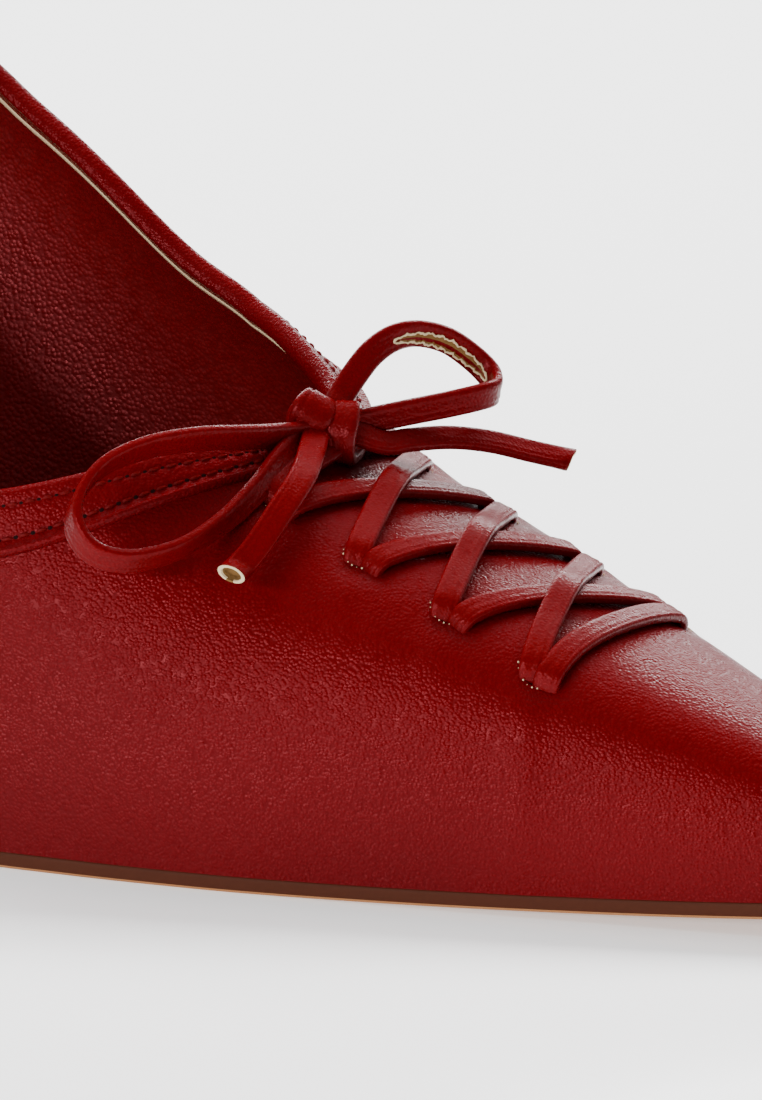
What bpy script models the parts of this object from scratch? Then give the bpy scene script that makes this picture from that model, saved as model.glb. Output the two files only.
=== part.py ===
"""Right-foot court shoe with a pointed toe, a low laced front and a slim covered heel.

Metres. X runs from the heel to the toe, Y to the inner (medial) side and Z up. The origin is the
middle of the heel tip's foot, on the floor. Every piece takes its shape from one last, which the
table LAST describes section by section.
"""

import math

import bmesh
import bpy
import numpy as np

# Driving sizes of the shoe
LENGTH = 0.242  # from the back of the counter to the tip of the toe, along the floor
BACK_REACH = 0.022  # how far the counter stands behind the middle of the heel tip
BALL_WIDTH = 0.072
WAIST_WIDTH = 0.044
SEAT_WIDTH = 0.053
INSTEP_HEIGHT = 0.045  # from the sole to the edge of the throat
BACK_HEIGHT = 0.056  # from the seat to the top of the counter
TOE_HEIGHT = 0.0095
HEEL_HEIGHT = 0.075  # from the floor to the back of the seat
TOE_SPRING = 0.003
WALL = 0.0016
SOLE = 0.002
INSOLE = 0.0014
GAP = 0.0003  # between pieces that touch on the real shoe

# Places along the shoe, from its back
TREAD_BACK = 0.134  # the forepart lies flat on the floor from here
TREAD_FRONT = 0.162  # to here
THROAT = 0.1580  # front edge of the opening
THROAT_ROUND = 0.027  # length over which the opening closes to its front
HEEL_BREAST = 0.060
FAN_FROM = 0.44 * LENGTH  # from here the upper's columns fan out forwards from the throat

# Roundings and lean of the ends
TOE_ROUND = 0.009
SEAT_ROUND = 0.027
COUNTER_LEAN = 0.005  # how far the counter's top leans forward
COUNTER_SWELL = 0.0025
COUNTER_LENGTH = 0.060

# Heel
TIP_LENGTH = 0.0105
TIP_WIDTH = 0.0095
TIP_THICKNESS = 0.0055
HEEL_TOP_INSET = 0.0008

# Edges of the sole, the insole and the tip
SOLE_INSET = 0.0004
INSOLE_TOE = 0.006  # how far the insole stops short of the toe
EDGE = 0.0003  # width of their small chamfers

# Band along the topline
BAND_WIDTH = 0.0072
BAND_WIDTH_AT_THROAT = 0.0042
BAND_THICKNESS = 0.0007
BAND_NARROWS = 0.6 * LENGTH  # columns that start in front of this have a narrower band

# Lace and its slits
LACE_WIDTH = 0.0032
LACE_THICKNESS = 0.0015
LACE_LEVELS = 4
LACE_FROM = 0.1625  # middle of the first level, from the back of the shoe
LACE_STEP = 0.0121
LACE_REACH_LATERAL = 0.0141
LACE_REACH_MEDIAL = 0.0134
LACE_HUMP = 0.18  # how far a strap's lift over its middle spreads, as a share of its length
SLIT_LENGTH = 0.0036
SLIT_WIDTH = 0.0009
LACE_CORNER = 0.45  # chamfer of a strap's edges, as a share of its thickness
LACE_OVER = 0.6  # extra lift of a strap that passes over another, as a share of its thickness
KNOT_ALONG = 0.1606
KNOT_SIZE = 0.0060
KNOT_FORM = (0.9, 1.05, 0.85)  # the knot's length, width and height, as shares of KNOT_SIZE
KNOT_WRAP = 0.36  # radius of the turn round the knot, as a share of KNOT_SIZE
KNOT_WRAP_HALF = 0.16  # half thickness of that turn, as a share of KNOT_SIZE
KNOT_TURN = 35  # degrees that the turn is set round to the outer side
MM = 0.001

# Fineness of the faces
UPPER_COLUMNS = 84
UPPER_LEVELS = (0, 0.05, 0.12, 0.21, 0.32, 0.44, 0.56, 0.68, 0.79, 0.89, 0.95, 1.0)
SOLE_SECTIONS = 40
STRAP_SECTIONS = 11
FINE_STEPS = 400

# Rise of the heel. Columns: share of the way up, and share of the way out to the seat's outline.
HEEL_FLARE = (
    (0.00, 0.00),
    (0.15, 0.015),
    (0.30, 0.04),
    (0.45, 0.09),
    (0.58, 0.16),
    (0.70, 0.27),
    (0.80, 0.42),
    (0.88, 0.60),
    (0.94, 0.79),
    (0.98, 0.94),
    (1.00, 1.00),
)
# Routes of the bow's four free stretches, in millimetres from the middle of the knot.
LOOP_LEFT = (
    (-0.8, -1.5, 0.3), (-1.4, -4.0, 0.4), (-1.5, -8.5, 0.6), (-2.8, -14.0, 0.6), (-6.2, -18.5, 0.2),
    (-10.0, -23.0, -1.0), (-12.5, -27.5, -3.0), (-14.2, -29.6, -6.0), (-13.6, -31.0, -9.0),
    (-10.6, -31.6, -11.6), (-6.6, -30.2, -12.5), (-2.5, -27.2, -11.4), (0.3, -22.8, -8.8),
    (1.0, -17.0, -5.8), (0.8, -11.5, -3.1), (0.3, -7.0, -1.9),
    (0.1, -4.4, -1.1), (0.0, -2.0, -0.5),
)
LOOP_RIGHT = (
    (-0.6, 0.8, 1.4), (-1.0, 2.2, 3.4), (-0.6, 4.5, 5.0), (0.2, 7.5, 7.5), (1.5, 11.5, 9.0), (3.0, 15.0, 9.0),
    (5.0, 18.5, 7.5), (6.5, 21.5, 5.0), (8.0, 22.0, 2.5), (8.0, 21.0, 0.0), (7.0, 17.5, -0.5),
    (4.5, 13.0, -0.5), (3.0, 8.5, -0.5), (1.9, 5.2, -0.3), (1.0, 3.0, 0.1), (0.6, 1.5, 0.2),
)
END_LEFT = (
    (1.7, -1.9, -1.3), (3.6, -4.6, -2.6), (4.8, -9.5, -3.0), (5.6, -13.5, -4.2), (6.0, -17.5, -6.2),
    (6.0, -20.7, -8.6), (5.2, -23.2, -10.8), (4.0, -25.2, -12.5),
)
END_RIGHT = (
    (1.9, 0.7, -1.0), (4.3, 2.6, -2.3), (6.7, 8.0, -2.2), (10.5, 13.0, -2.5), (14.0, 17.5, -4.0),
    (18.5, 22.5, -6.0),
)
# The bow's free stretches. Columns: name, route, and the way across the strap.
BOW = (
    ("bow_loop_left", LOOP_LEFT, (0.49, -0.09, 0.86)),
    ("bow_loop_right", LOOP_RIGHT, (0.14, 0.67, -0.73)),
    ("bow_end_left", END_LEFT, (0.75, 0.37, -0.53)),
    ("bow_end_right", END_RIGHT, (0.39, -0.56, 0.73)),
)

# One row for each section of the last. Columns: how far along the shoe, the half widths at the
# feather line on the lateral and the medial side, how much each side swells beyond that line, the
# height of the ridge over the sole, and the ridge's sideways place. Behind the throat the ridge is
# the last's own, above the opening.
LAST = (
    (0.000 * LENGTH, 0.50 * SEAT_WIDTH, 0.49 * SEAT_WIDTH, 0.028 * SEAT_WIDTH, 0.028 * SEAT_WIDTH,
     1.50 * BACK_HEIGHT, 0.0),
    (0.091 * LENGTH, 0.50 * SEAT_WIDTH, 0.49 * SEAT_WIDTH, 0.028 * SEAT_WIDTH, 0.028 * SEAT_WIDTH,
     1.36 * BACK_HEIGHT, 0.0),
    (0.174 * LENGTH, 0.50 * SEAT_WIDTH, 0.47 * SEAT_WIDTH, 0.04 * SEAT_WIDTH, 0.06 * SEAT_WIDTH,
     1.18 * BACK_HEIGHT, 0.0),
    (0.248 * LENGTH, 0.48 * SEAT_WIDTH, 0.425 * SEAT_WIDTH, 0.08 * SEAT_WIDTH, 0.13 * SEAT_WIDTH,
     1.12 * BACK_HEIGHT, 0.0),
    (0.326 * LENGTH, 0.545 * WAIST_WIDTH, 0.455 * WAIST_WIDTH, 0.16 * WAIST_WIDTH, 0.27 * WAIST_WIDTH,
     1.10 * BACK_HEIGHT, 0.0),
    (0.401 * LENGTH, 0.60 * WAIST_WIDTH, 0.51 * WAIST_WIDTH, 0.14 * WAIST_WIDTH, 0.24 * WAIST_WIDTH,
     1.14 * BACK_HEIGHT, 0.0),
    (0.471 * LENGTH, 0.445 * BALL_WIDTH, 0.395 * BALL_WIDTH, 0.055 * BALL_WIDTH, 0.085 * BALL_WIDTH,
     1.48 * INSTEP_HEIGHT, 0.0),
    (0.5455 * LENGTH, 0.514 * BALL_WIDTH, 0.470 * BALL_WIDTH, 0.02 * BALL_WIDTH, 0.035 * BALL_WIDTH,
     1.40 * INSTEP_HEIGHT, 0.0),
    (0.607 * LENGTH, 0.483 * BALL_WIDTH, 0.488 * BALL_WIDTH, 0.011 * BALL_WIDTH, 0.014 * BALL_WIDTH,
     1.18 * INSTEP_HEIGHT, 0.0),
    (0.669 * LENGTH, 0.433 * BALL_WIDTH, 0.470 * BALL_WIDTH, 0.007 * BALL_WIDTH, 0.008 * BALL_WIDTH,
     0.95 * INSTEP_HEIGHT, 0.0),
    (0.752 * LENGTH, 0.350 * BALL_WIDTH, 0.393 * BALL_WIDTH, 0.006 * BALL_WIDTH, 0.006 * BALL_WIDTH,
     0.76 * INSTEP_HEIGHT, 0.003 * BALL_WIDTH),
    (0.835 * LENGTH, 0.262 * BALL_WIDTH, 0.289 * BALL_WIDTH, 0.004 * BALL_WIDTH, 0.004 * BALL_WIDTH,
     0.579 * INSTEP_HEIGHT, 0.007 * BALL_WIDTH),
    (0.917 * LENGTH, 0.176 * BALL_WIDTH, 0.179 * BALL_WIDTH, 0.003 * BALL_WIDTH, 0.003 * BALL_WIDTH,
     0.398 * INSTEP_HEIGHT, 0.014 * BALL_WIDTH),
    (0.967 * LENGTH, 0.119 * BALL_WIDTH, 0.115 * BALL_WIDTH, 0.002 * BALL_WIDTH, 0.002 * BALL_WIDTH,
     1.32 * TOE_HEIGHT, 0.018 * BALL_WIDTH),
    (1.000 * LENGTH, 0.076 * BALL_WIDTH, 0.076 * BALL_WIDTH, 0.001 * BALL_WIDTH, 0.001 * BALL_WIDTH,
     0.95 * TOE_HEIGHT, 0.021 * BALL_WIDTH),
)
# How boxy each section is. Columns: how far along the shoe, how far up the side wall rises before
# it turns in, as a share of the height, and how far out the top stays flat, as a share of the width.
FULLNESS = (
    (0.00 * LENGTH, 0.60, 0.72),
    (0.25 * LENGTH, 0.62, 0.76),
    (0.40 * LENGTH, 0.66, 0.78),
    (0.5455 * LENGTH, 0.66, 0.70),
    (0.61 * LENGTH, 0.68, 0.64),
    (0.67 * LENGTH, 0.72, 0.64),
    (0.75 * LENGTH, 0.80, 0.72),
    (0.84 * LENGTH, 0.87, 0.77),
    (0.92 * LENGTH, 0.86, 0.77),
    (1.00 * LENGTH, 0.80, 0.74),
)
# Height of the topline over the feather line. Columns: how far along the shoe, on the lateral and
# on the medial side.
TOPLINE = (
    (0.000 * LENGTH, 1.00 * BACK_HEIGHT, 1.00 * BACK_HEIGHT),
    (0.091 * LENGTH, 0.87 * BACK_HEIGHT, 0.92 * BACK_HEIGHT),
    (0.174 * LENGTH, 0.73 * BACK_HEIGHT, 0.83 * BACK_HEIGHT),
    (0.248 * LENGTH, 0.63 * BACK_HEIGHT, 0.78 * BACK_HEIGHT),
    (0.326 * LENGTH, 0.58 * BACK_HEIGHT, 0.81 * BACK_HEIGHT),
    (0.401 * LENGTH, 0.80 * INSTEP_HEIGHT, 1.16 * INSTEP_HEIGHT),
    (0.471 * LENGTH, 0.87 * INSTEP_HEIGHT, 1.27 * INSTEP_HEIGHT),
    (0.550 * LENGTH, 0.89 * INSTEP_HEIGHT, 1.20 * INSTEP_HEIGHT),
    (0.607 * LENGTH, 0.86 * INSTEP_HEIGHT, 1.06 * INSTEP_HEIGHT),
    (THROAT, 0.82 * INSTEP_HEIGHT, 0.92 * INSTEP_HEIGHT),
)
# Rise of the sole behind the tread. Columns: share of the way from the tread to the back of the
# seat, and share of the heel's height.
ARCH = (
    (0.000, 0.000),
    (0.075, 0.031),
    (0.149, 0.118),
    (0.239, 0.266),
    (0.313, 0.399),
    (0.410, 0.560),
    (0.478, 0.652),
    (0.552, 0.726),
    (0.687, 0.816),
    (0.836, 0.900),
    (1.000, 1.000),
)


def unit(vectors):
    return vectors / np.maximum(np.linalg.norm(vectors, axis=-1, keepdims=True), 1e-12)


def curve_through(rows, column, x):
    """Reads one column of a table at x, on cubic pieces whose slopes keep to the rows' own."""
    knots = np.array([row[0] for row in rows])
    values = np.array([row[column] for row in rows])
    step = np.diff(knots)
    slope = np.diff(values) / step
    mean = (step[1:] * slope[:-1] + step[:-1] * slope[1:]) / (step[1:] + step[:-1])
    limit = 3 * np.minimum(abs(slope[:-1]), abs(slope[1:]))
    inner = np.where(slope[:-1] * slope[1:] > 0, np.sign(mean) * np.minimum(abs(mean), limit), 0)
    tangent = np.concatenate([slope[:1], inner, slope[-1:]])
    x = np.clip(x, knots[0], knots[-1])
    i = np.clip(np.searchsorted(knots, x) - 1, 0, len(step) - 1)
    t = (x - knots[i]) / step[i]
    return (
        values[i] * (1 + 2 * t) * (1 - t) ** 2
        + step[i] * tangent[i] * t * (1 - t) ** 2
        + values[i + 1] * (3 - 2 * t) * t**2
        - step[i] * tangent[i + 1] * t**2 * (1 - t)
    )


def rounding(distance, length):
    """Closes a width along a quarter ellipse: 0 at distance 0 and 1 from length on."""
    return np.sqrt(1 - (1 - np.clip(distance / length, 0, 1)) ** 2)


def sole_height(x):
    """Height of the sole's underside: flat at the tread, arched behind it and sprung before it."""
    back = np.clip((TREAD_BACK - x) / TREAD_BACK, 0, 1)
    front = np.clip((x - TREAD_FRONT) / (LENGTH - TREAD_FRONT), 0, 1)
    return curve_through(ARCH, 1, back) * (HEEL_HEIGHT - SOLE) + TOE_SPRING * front**2


def feather_height(x):
    return sole_height(x) + SOLE


def ridge_height(x):
    """Height of the ridge over the feather line, closed round at the toe."""
    return curve_through(LAST, 5, x) * rounding(LENGTH - x, TOE_ROUND)


def last_point(x, share, side):
    """A point of the last's skin, x along it, by its share of the way from feather line to ridge.

    Each half section is one cubic: up from the feather line along the wall, then in to the ridge,
    which it meets level. side is -1 on the lateral side and 1 on the medial side.
    """
    closing = rounding(LENGTH - x, TOE_ROUND) * rounding(x, SEAT_ROUND)
    lateral = side < 0
    width = np.where(lateral, curve_through(LAST, 1, x), curve_through(LAST, 2, x))
    swell = np.where(lateral, curve_through(LAST, 3, x), curve_through(LAST, 4, x))
    rise = curve_through(FULLNESS, 1, x)
    reach = curve_through(FULLNESS, 2, x)
    down = 1 - share
    out = width * down**3 + (width + swell) * 3 * down * share * (down + reach * share)
    up = ridge_height(x) * share * (3 * rise * down**2 + 3 * down * share + share**2)
    height = up / BACK_HEIGHT
    near_back = np.clip(1 - x / COUNTER_LENGTH, 0, 1) ** 2
    lean = near_back * (COUNTER_LEAN * height**2 - COUNTER_SWELL * np.sin(math.pi * height))
    y = curve_through(LAST, 6, x) + side * out * closing
    return np.stack([x + lean - BACK_REACH, y, feather_height(x) + up], axis=-1)


def vamp_point(x, y):
    """The point of the vamp's skin over the plan position x along the shoe and y across it."""
    side = np.where(y < curve_through(LAST, 6, x), -1, 1)
    low, high = 0.4 * np.ones_like(x), np.ones_like(x)
    for _ in range(30):
        middle = (low + high) / 2
        beyond = side * (last_point(x, middle, side)[..., 1] - y) > 0
        low, high = np.where(beyond, middle, low), np.where(beyond, high, middle)
    return last_point(x, (low + high) / 2, side)


def vamp_normal(x, y):
    step = 0.0005
    along = vamp_point(x + step, y) - vamp_point(x - step, y)
    across = vamp_point(x, y + step) - vamp_point(x, y - step)
    return unit(np.cross(along, across))


def share_at_height(x, height):
    """The share of the section at which the skin reaches this height over the feather line."""
    rise = curve_through(FULLNESS, 1, x)
    target = np.clip(height / ridge_height(x), 0, 1)
    low, high = np.zeros_like(x), np.ones_like(x)
    for _ in range(30):
        middle = (low + high) / 2
        down = 1 - middle
        under = middle * (3 * rise * down**2 + 3 * down * middle + middle**2) < target
        low, high = np.where(under, middle, low), np.where(under, high, middle)
    return (low + high) / 2


def half_girth(x, side):
    """Length of the skin from the feather line to the ridge."""
    shares = np.linspace(0, 1, 33)
    shape = np.broadcast_shapes(np.shape(x), np.shape(side))
    across = np.broadcast_to(x, shape)[..., None] + 0 * shares
    points = last_point(across, shares, np.broadcast_to(side, shape)[..., None])
    return np.linalg.norm(np.diff(points, axis=-2), axis=-1).sum(axis=-1)


def ring_places(count):
    """Where the upper's count columns start: x along the feather line and side, once round."""
    turn = np.arange(count) / count * 2
    side = np.where(turn <= 1, -1, 1)
    way = np.where(turn <= 1, turn, 2 - turn)
    return LENGTH * (1 - np.cos(math.pi * way)) / 2, side


def upper_skin(start, side, level):
    """The upper's outside, by column and by level from the feather line, 0, to the topline, 1.

    A column leaves the feather line at start and ends on the topline, over it at the back and
    drawn in round the throat at the front. Its distance from the ridge changes evenly on the way.
    """
    way = np.clip((start - FAN_FROM) / (LENGTH - FAN_FROM), 0, 1)
    pull = (LENGTH - FAN_FROM) / (THROAT - FAN_FROM)
    drawn = FAN_FROM + (THROAT - FAN_FROM) * pull * way / (1 + (pull - 1) * way)
    end = np.where(start < FAN_FROM, start, drawn)
    edge = np.where(side < 0, curve_through(TOPLINE, 1, end), curve_through(TOPLINE, 2, end))
    edge_share = share_at_height(end, edge)
    top = 1 - (1 - edge_share) * rounding(THROAT - end, THROAT_ROUND)
    x = start + (end - start) * level
    first, last = half_girth(start, side), (1 - top) * half_girth(end, side)
    girth = np.maximum(half_girth(x, side), 1e-9)
    share = 1 - np.clip((first + (last - first) * level) / girth, 0, 1)
    share = np.where(level <= 0, 0, share)
    share = np.where(start >= LENGTH - 1e-9, 1, share)
    return last_point(x, share, side)


def normals(grid):
    """Outward unit normals of a grid of points, rows up the upper and columns once round it."""
    round_it = np.roll(grid, -1, axis=1) - np.roll(grid, 1, axis=1)
    return unit(np.cross(round_it, np.gradient(grid, axis=0)))


def material(name, colour, roughness):
    m = bpy.data.materials.new(name)
    m.use_nodes = True
    shader = m.node_tree.nodes["Principled BSDF"]
    shader.inputs["Base Color"].default_value = (*colour, 1)
    shader.inputs["Roughness"].default_value = roughness
    return m


def add_object(name, points, faces, finish):
    """Makes a mesh object of these points and faces, with its faces shaded smooth."""
    mesh = bpy.data.meshes.new(name)
    mesh.from_pydata(np.asarray(points).reshape(-1, 3).tolist(), [], faces)
    mesh.materials.append(finish)
    shape = bmesh.new()
    shape.from_mesh(mesh)
    bmesh.ops.recalc_face_normals(shape, faces=shape.faces)
    shape.to_mesh(mesh)
    shape.free()
    mesh.shade_smooth()
    mesh.set_sharp_from_angle(angle=math.radians(40))
    thing = bpy.data.objects.new(name, mesh)
    bpy.context.scene.collection.objects.link(thing)
    return thing


def bands(rings, columns, closed):
    """Four-sided faces between each ring of points and the next, and from last to first if closed."""
    faces = []
    for ring in range(rings if closed else rings - 1):
        above = (ring + 1) % rings
        for i in range(columns):
            j = (i + 1) % columns
            low, high = ring * columns, above * columns
            faces.append((low + i, low + j, high + j, high + i))
    return faces


def loft(name, sections, finish):
    """A closed solid through sections, each a loop of as many points, with flat ends."""
    rings, columns = sections.shape[:2]
    faces = bands(rings, columns, False)
    faces.append(tuple(range(columns))[::-1])
    faces.append(tuple((rings - 1) * columns + i for i in range(columns)))
    return add_object(name, sections, faces, finish)


def upper_grid(levels):
    """The upper's outside as a grid of points, a row for each level and a column round the shoe."""
    start, side = ring_places(UPPER_COLUMNS)
    shape = (len(levels), UPPER_COLUMNS)
    level = np.broadcast_to(np.array(levels)[:, None], shape)
    return upper_skin(np.broadcast_to(start, shape), np.broadcast_to(side, shape), level)


def build_upper(finish):
    """Vamp and quarters as one wall, open at the topline and underneath."""
    outer = upper_grid(UPPER_LEVELS)
    inner = outer - WALL * normals(outer)
    inner[0, :, 2] = outer[0, :, 2]
    rings = np.concatenate([outer, inner[::-1]])
    return add_object("upper", rings, bands(len(rings), UPPER_COLUMNS, True), finish)


def build_collar_band(finish):
    """The folded band round the opening: a strip of the upper's own skin, laid over it."""
    dense = np.linspace(0, 1, 81)
    skin = upper_grid(dense)
    outward = normals(skin)
    run = np.linalg.norm(np.diff(skin, axis=0), axis=-1)
    below = np.concatenate([np.cumsum(run[::-1], axis=0)[::-1], np.zeros((1, UPPER_COLUMNS))])
    start, _ = ring_places(UPPER_COLUMNS)
    near_throat = np.clip((start - BAND_NARROWS) / (LENGTH - BAND_NARROWS), 0, 1)
    width = BAND_WIDTH + (BAND_WIDTH_AT_THROAT - BAND_WIDTH) * near_throat
    strip = []
    for down, height in ((0, 0), (0, 1), (0.5, 1), (1, 1), (1, 0), (0.5, 0)):
        ring = np.empty((UPPER_COLUMNS, 3))
        for i in range(UPPER_COLUMNS):
            level = np.interp(-down * width[i], -below[:, i], dense)
            at = [np.interp(level, dense, skin[:, i, axis]) for axis in range(3)]
            way = np.array([np.interp(level, dense, outward[:, i, axis]) for axis in range(3)])
            ring[i] = at + way / np.linalg.norm(way) * (GAP + height * BAND_THICKNESS)
        strip.append(ring)
    rings = np.array(strip)[::-1]
    return add_object("collar_band", rings, bands(len(rings), UPPER_COLUMNS, True), finish)


def plate_sections(places, inset, bottom, top):
    """Cross sections of a plate that follows the feather line, each a loop of eight points."""
    front = rounding(LENGTH - inset - places, TOE_ROUND)
    closing = front * rounding(places - inset, SEAT_ROUND - inset)
    ridge = curve_through(LAST, 6, places)
    loops = []
    for side, face, into, inward in (
        (-1, top, 0, 1), (-1, top, -1, 0), (-1, bottom, 1, 0), (-1, bottom, 0, 1),
        (1, bottom, 0, 1), (1, bottom, 1, 0), (1, top, -1, 0), (1, top, 0, 1),
    ):
        half = (curve_through(LAST, 1 if side < 0 else 2, places) - inset) * closing
        y = ridge + side * np.maximum(half - inward * EDGE, EDGE / 2)
        loops.append(np.stack([places - BACK_REACH, y, face + into * EDGE], axis=-1))
    return np.stack(loops, axis=1)


def end_spaced(first, last, crowded):
    """Places from first to last, crowded at the rounded front end or at both ends."""
    way = np.linspace(0, 1, SOLE_SECTIONS)
    eased = np.sin(way * math.pi / 2) if crowded == "front" else (1 - np.cos(way * math.pi)) / 2
    return first + (last - first) * eased


def build_outsole(finish):
    """Thin sole from the heel breast to the toe, flush with the upper's feather line."""
    places = end_spaced(HEEL_BREAST + GAP, LENGTH - 2 * SOLE_INSET, "front")
    top = feather_height(places) - GAP
    return loft("outsole", plate_sections(places, SOLE_INSET, sole_height(places), top), finish)


def build_insole(finish):
    """Sock inside the upper, from the counter to the toe."""
    inset = WALL + 3 * GAP
    places = end_spaced(inset, LENGTH - INSOLE_TOE, "both")
    floor = feather_height(places)
    return loft("insole", plate_sections(places, inset, floor, floor + INSOLE), finish)


def build_heel(finish):
    """Slim covered heel: the seat's outline at the top, drawn down in curves to the small tip."""
    length = HEEL_BREAST - HEEL_TOP_INSET
    back = length * (1 - np.cos(np.linspace(0, 1, 15) * math.pi / 2))
    closing = rounding(back, SEAT_ROUND - HEEL_TOP_INSET)
    lateral, medial = (
        (curve_through(LAST, column, back + HEEL_TOP_INSET) - HEEL_TOP_INSET) * closing for column in (1, 2)
    )
    along = np.concatenate([back, back[:0:-1]])
    x = along + HEEL_TOP_INSET - BACK_REACH
    y = np.concatenate([-lateral, medial[:0:-1]])
    foot_x = (along / length - 0.5) * TIP_LENGTH
    foot_y = y / (lateral.max() + medial.max()) * TIP_WIDTH
    foot_z = TIP_THICKNESS + GAP
    rise = feather_height(x + BACK_REACH) - GAP - foot_z
    sections = [
        np.stack([foot_x + (x - foot_x) * out, foot_y + (y - foot_y) * out, foot_z + rise * up], -1)
        for up, out in HEEL_FLARE
    ]
    return loft("heel", np.array(sections), finish)


def build_heel_tip(finish):
    """Top piece: a small D-shaped block, flat on the floor."""
    turn = np.linspace(math.pi / 2, 3 * math.pi / 2, 13)
    x = np.concatenate([TIP_LENGTH / 2 * np.cos(turn), [TIP_LENGTH / 2, TIP_LENGTH / 2]])
    y = np.concatenate([TIP_WIDTH / 2 * np.sin(turn), [-TIP_WIDTH / 2 + EDGE, TIP_WIDTH / 2 - EDGE]])
    foot = 1 - 2 * EDGE / TIP_WIDTH
    sections = [
        np.stack([x * size, y * size, np.full_like(x, z)], -1)
        for size, z in ((foot, 0), (1, EDGE), (1, TIP_THICKNESS))
    ]
    return loft("heel_tip", np.array(sections), finish)


def strap_sections(route, across):
    """Sections of the folded leather lace along a route, eight points each, flat along across."""
    along = unit(np.gradient(route, axis=0))
    across = unit(across - (across * along).sum(-1, keepdims=True) * along)
    facing = np.cross(along, across)
    flat, edge = LACE_WIDTH / 2, LACE_THICKNESS / 2
    corner = LACE_CORNER * LACE_THICKNESS
    quarter = ((flat, edge - corner), (flat - corner, edge))
    half = (*quarter, *((-a, b) for a, b in quarter[::-1]))
    shape = (*half, *((a, -b) for a, b in half[::-1]))
    return np.stack([route + a * across + b * facing for a, b in shape], axis=1)


def hole_places(level):
    """Plan places of the lateral and the medial slit of one level of the lacing."""
    x = LACE_FROM + level * LACE_STEP
    return (x, -LACE_REACH_LATERAL), (x, LACE_REACH_MEDIAL)


def lace_strap(start, end, lift):
    """One strap over the vamp between two places, lifted over its middle by lift."""
    way = np.linspace(0, 1, STRAP_SECTIONS)
    x = start[0] + (end[0] - start[0]) * way
    y = start[1] + (end[1] - start[1]) * way
    outward = vamp_normal(x, y)
    rise = GAP + LACE_THICKNESS / 2 + lift * np.exp(-(((way - 0.5) / LACE_HUMP) ** 2))
    route = vamp_point(x, y) + outward * rise[:, None]
    across = np.cross(outward, unit(np.gradient(route, axis=0)))
    return strap_sections(route, across)


def joined(pieces):
    """Joins solids into the first of them with exact unions."""
    whole = pieces[0]
    for other in pieces[1:]:
        union = whole.modifiers.new("union", "BOOLEAN")
        union.operation = "UNION"
        union.object = other
        other.hide_render = True
        other.display_type = "WIRE"
    return whole


def build_lace_crossings(finish):
    """The straps that cross over the vamp, one solid: the steep ones pass over the shallow ones."""
    lateral = [hole_places(level)[0] for level in range(LACE_LEVELS)]
    medial = [hole_places(level)[1] for level in range(LACE_LEVELS)]
    last = LACE_LEVELS - 1
    straps = [(lateral[last], medial[last], 0.0)]
    for level in range(last):
        straps.append((lateral[level], medial[level + 1], 0.0))
        straps.append((lateral[level + 1], medial[level], LACE_OVER * LACE_THICKNESS))
    pieces = [
        loft("lace_crossings" if i == 0 else f"strap_{i}", lace_strap(*strap), finish)
        for i, strap in enumerate(straps)
    ]
    return joined(pieces)


def slit_block(x, y):
    """A block that stands through the vamp, as long and as wide as a slit."""
    place, outward = (f(np.array([x]), np.array([y]))[0] for f in (vamp_point, vamp_normal))
    along = unit(np.array([1.0, 0, 0]) - outward[0] * outward)
    across = np.cross(outward, along)
    sizes = np.array([SLIT_LENGTH / 2, SLIT_WIDTH / 2, 2 * WALL])
    corners = [[(a, b, c) for a, b in ((-1, -1), (1, -1), (1, 1), (-1, 1))] for c in (-1, 1)]
    return place + np.array(corners) * sizes @ np.stack([along, across, outward])


def cut_slits(upper):
    """Cuts the lace's slits through the vamp."""
    for level in range(LACE_LEVELS):
        for x, y in hole_places(level):
            cutter = loft("slit_cutter", slit_block(x, y), upper.data.materials[0])
            cutter.hide_render = True
            cutter.display_type = "WIRE"
            cut = upper.modifiers.new("slit", "BOOLEAN")
            cut.object = cutter


def smooth_route(points):
    """Many points along a smooth curve through the route's own points."""
    points = np.array(points) * MM
    padded = np.concatenate([[2 * points[0] - points[1]], points, [2 * points[-1] - points[-2]]])
    t = np.linspace(0, len(points) - 1, FINE_STEPS)
    i = np.minimum(t.astype(int), len(points) - 2)
    f = (t - i)[:, None]
    a, b, c, d = (padded[i + k] for k in range(4))
    cubic = (2 * a - 5 * b + 4 * c - d) * f**2 + (3 * b - a - 3 * c + d) * f**3
    return b + 0.5 * ((c - a) * f + cubic)


def evenly(line, count):
    """The line again, with count points at even distances."""
    run = np.concatenate([[0], np.cumsum(np.linalg.norm(np.diff(line, axis=0), axis=1))])
    at = np.linspace(0, run[-1], count)
    return np.stack([np.interp(at, run, line[:, k]) for k in range(3)], -1)


def knot_place():
    """Middle of the knot, over the front of the throat, just clear of the band."""
    x, y = np.array([KNOT_ALONG]), np.array([0.0])
    return vamp_point(x, y)[0] + np.array([0, 0, KNOT_SIZE / 2 + BAND_THICKNESS + 3 * GAP])


def free_stretch(route, across):
    """Sections of one free stretch of the lace, only where it clears the knot."""
    line = smooth_route(route)
    knot = np.array(KNOT_FORM) * KNOT_SIZE * (KNOT_WRAP + KNOT_WRAP_HALF) + GAP
    nearest = np.linalg.norm(strap_sections(line, across) / knot, axis=-1).min(axis=1)
    return strap_sections(knot_place() + evenly(line[nearest > 1], 3 * len(route)), across)


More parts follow.
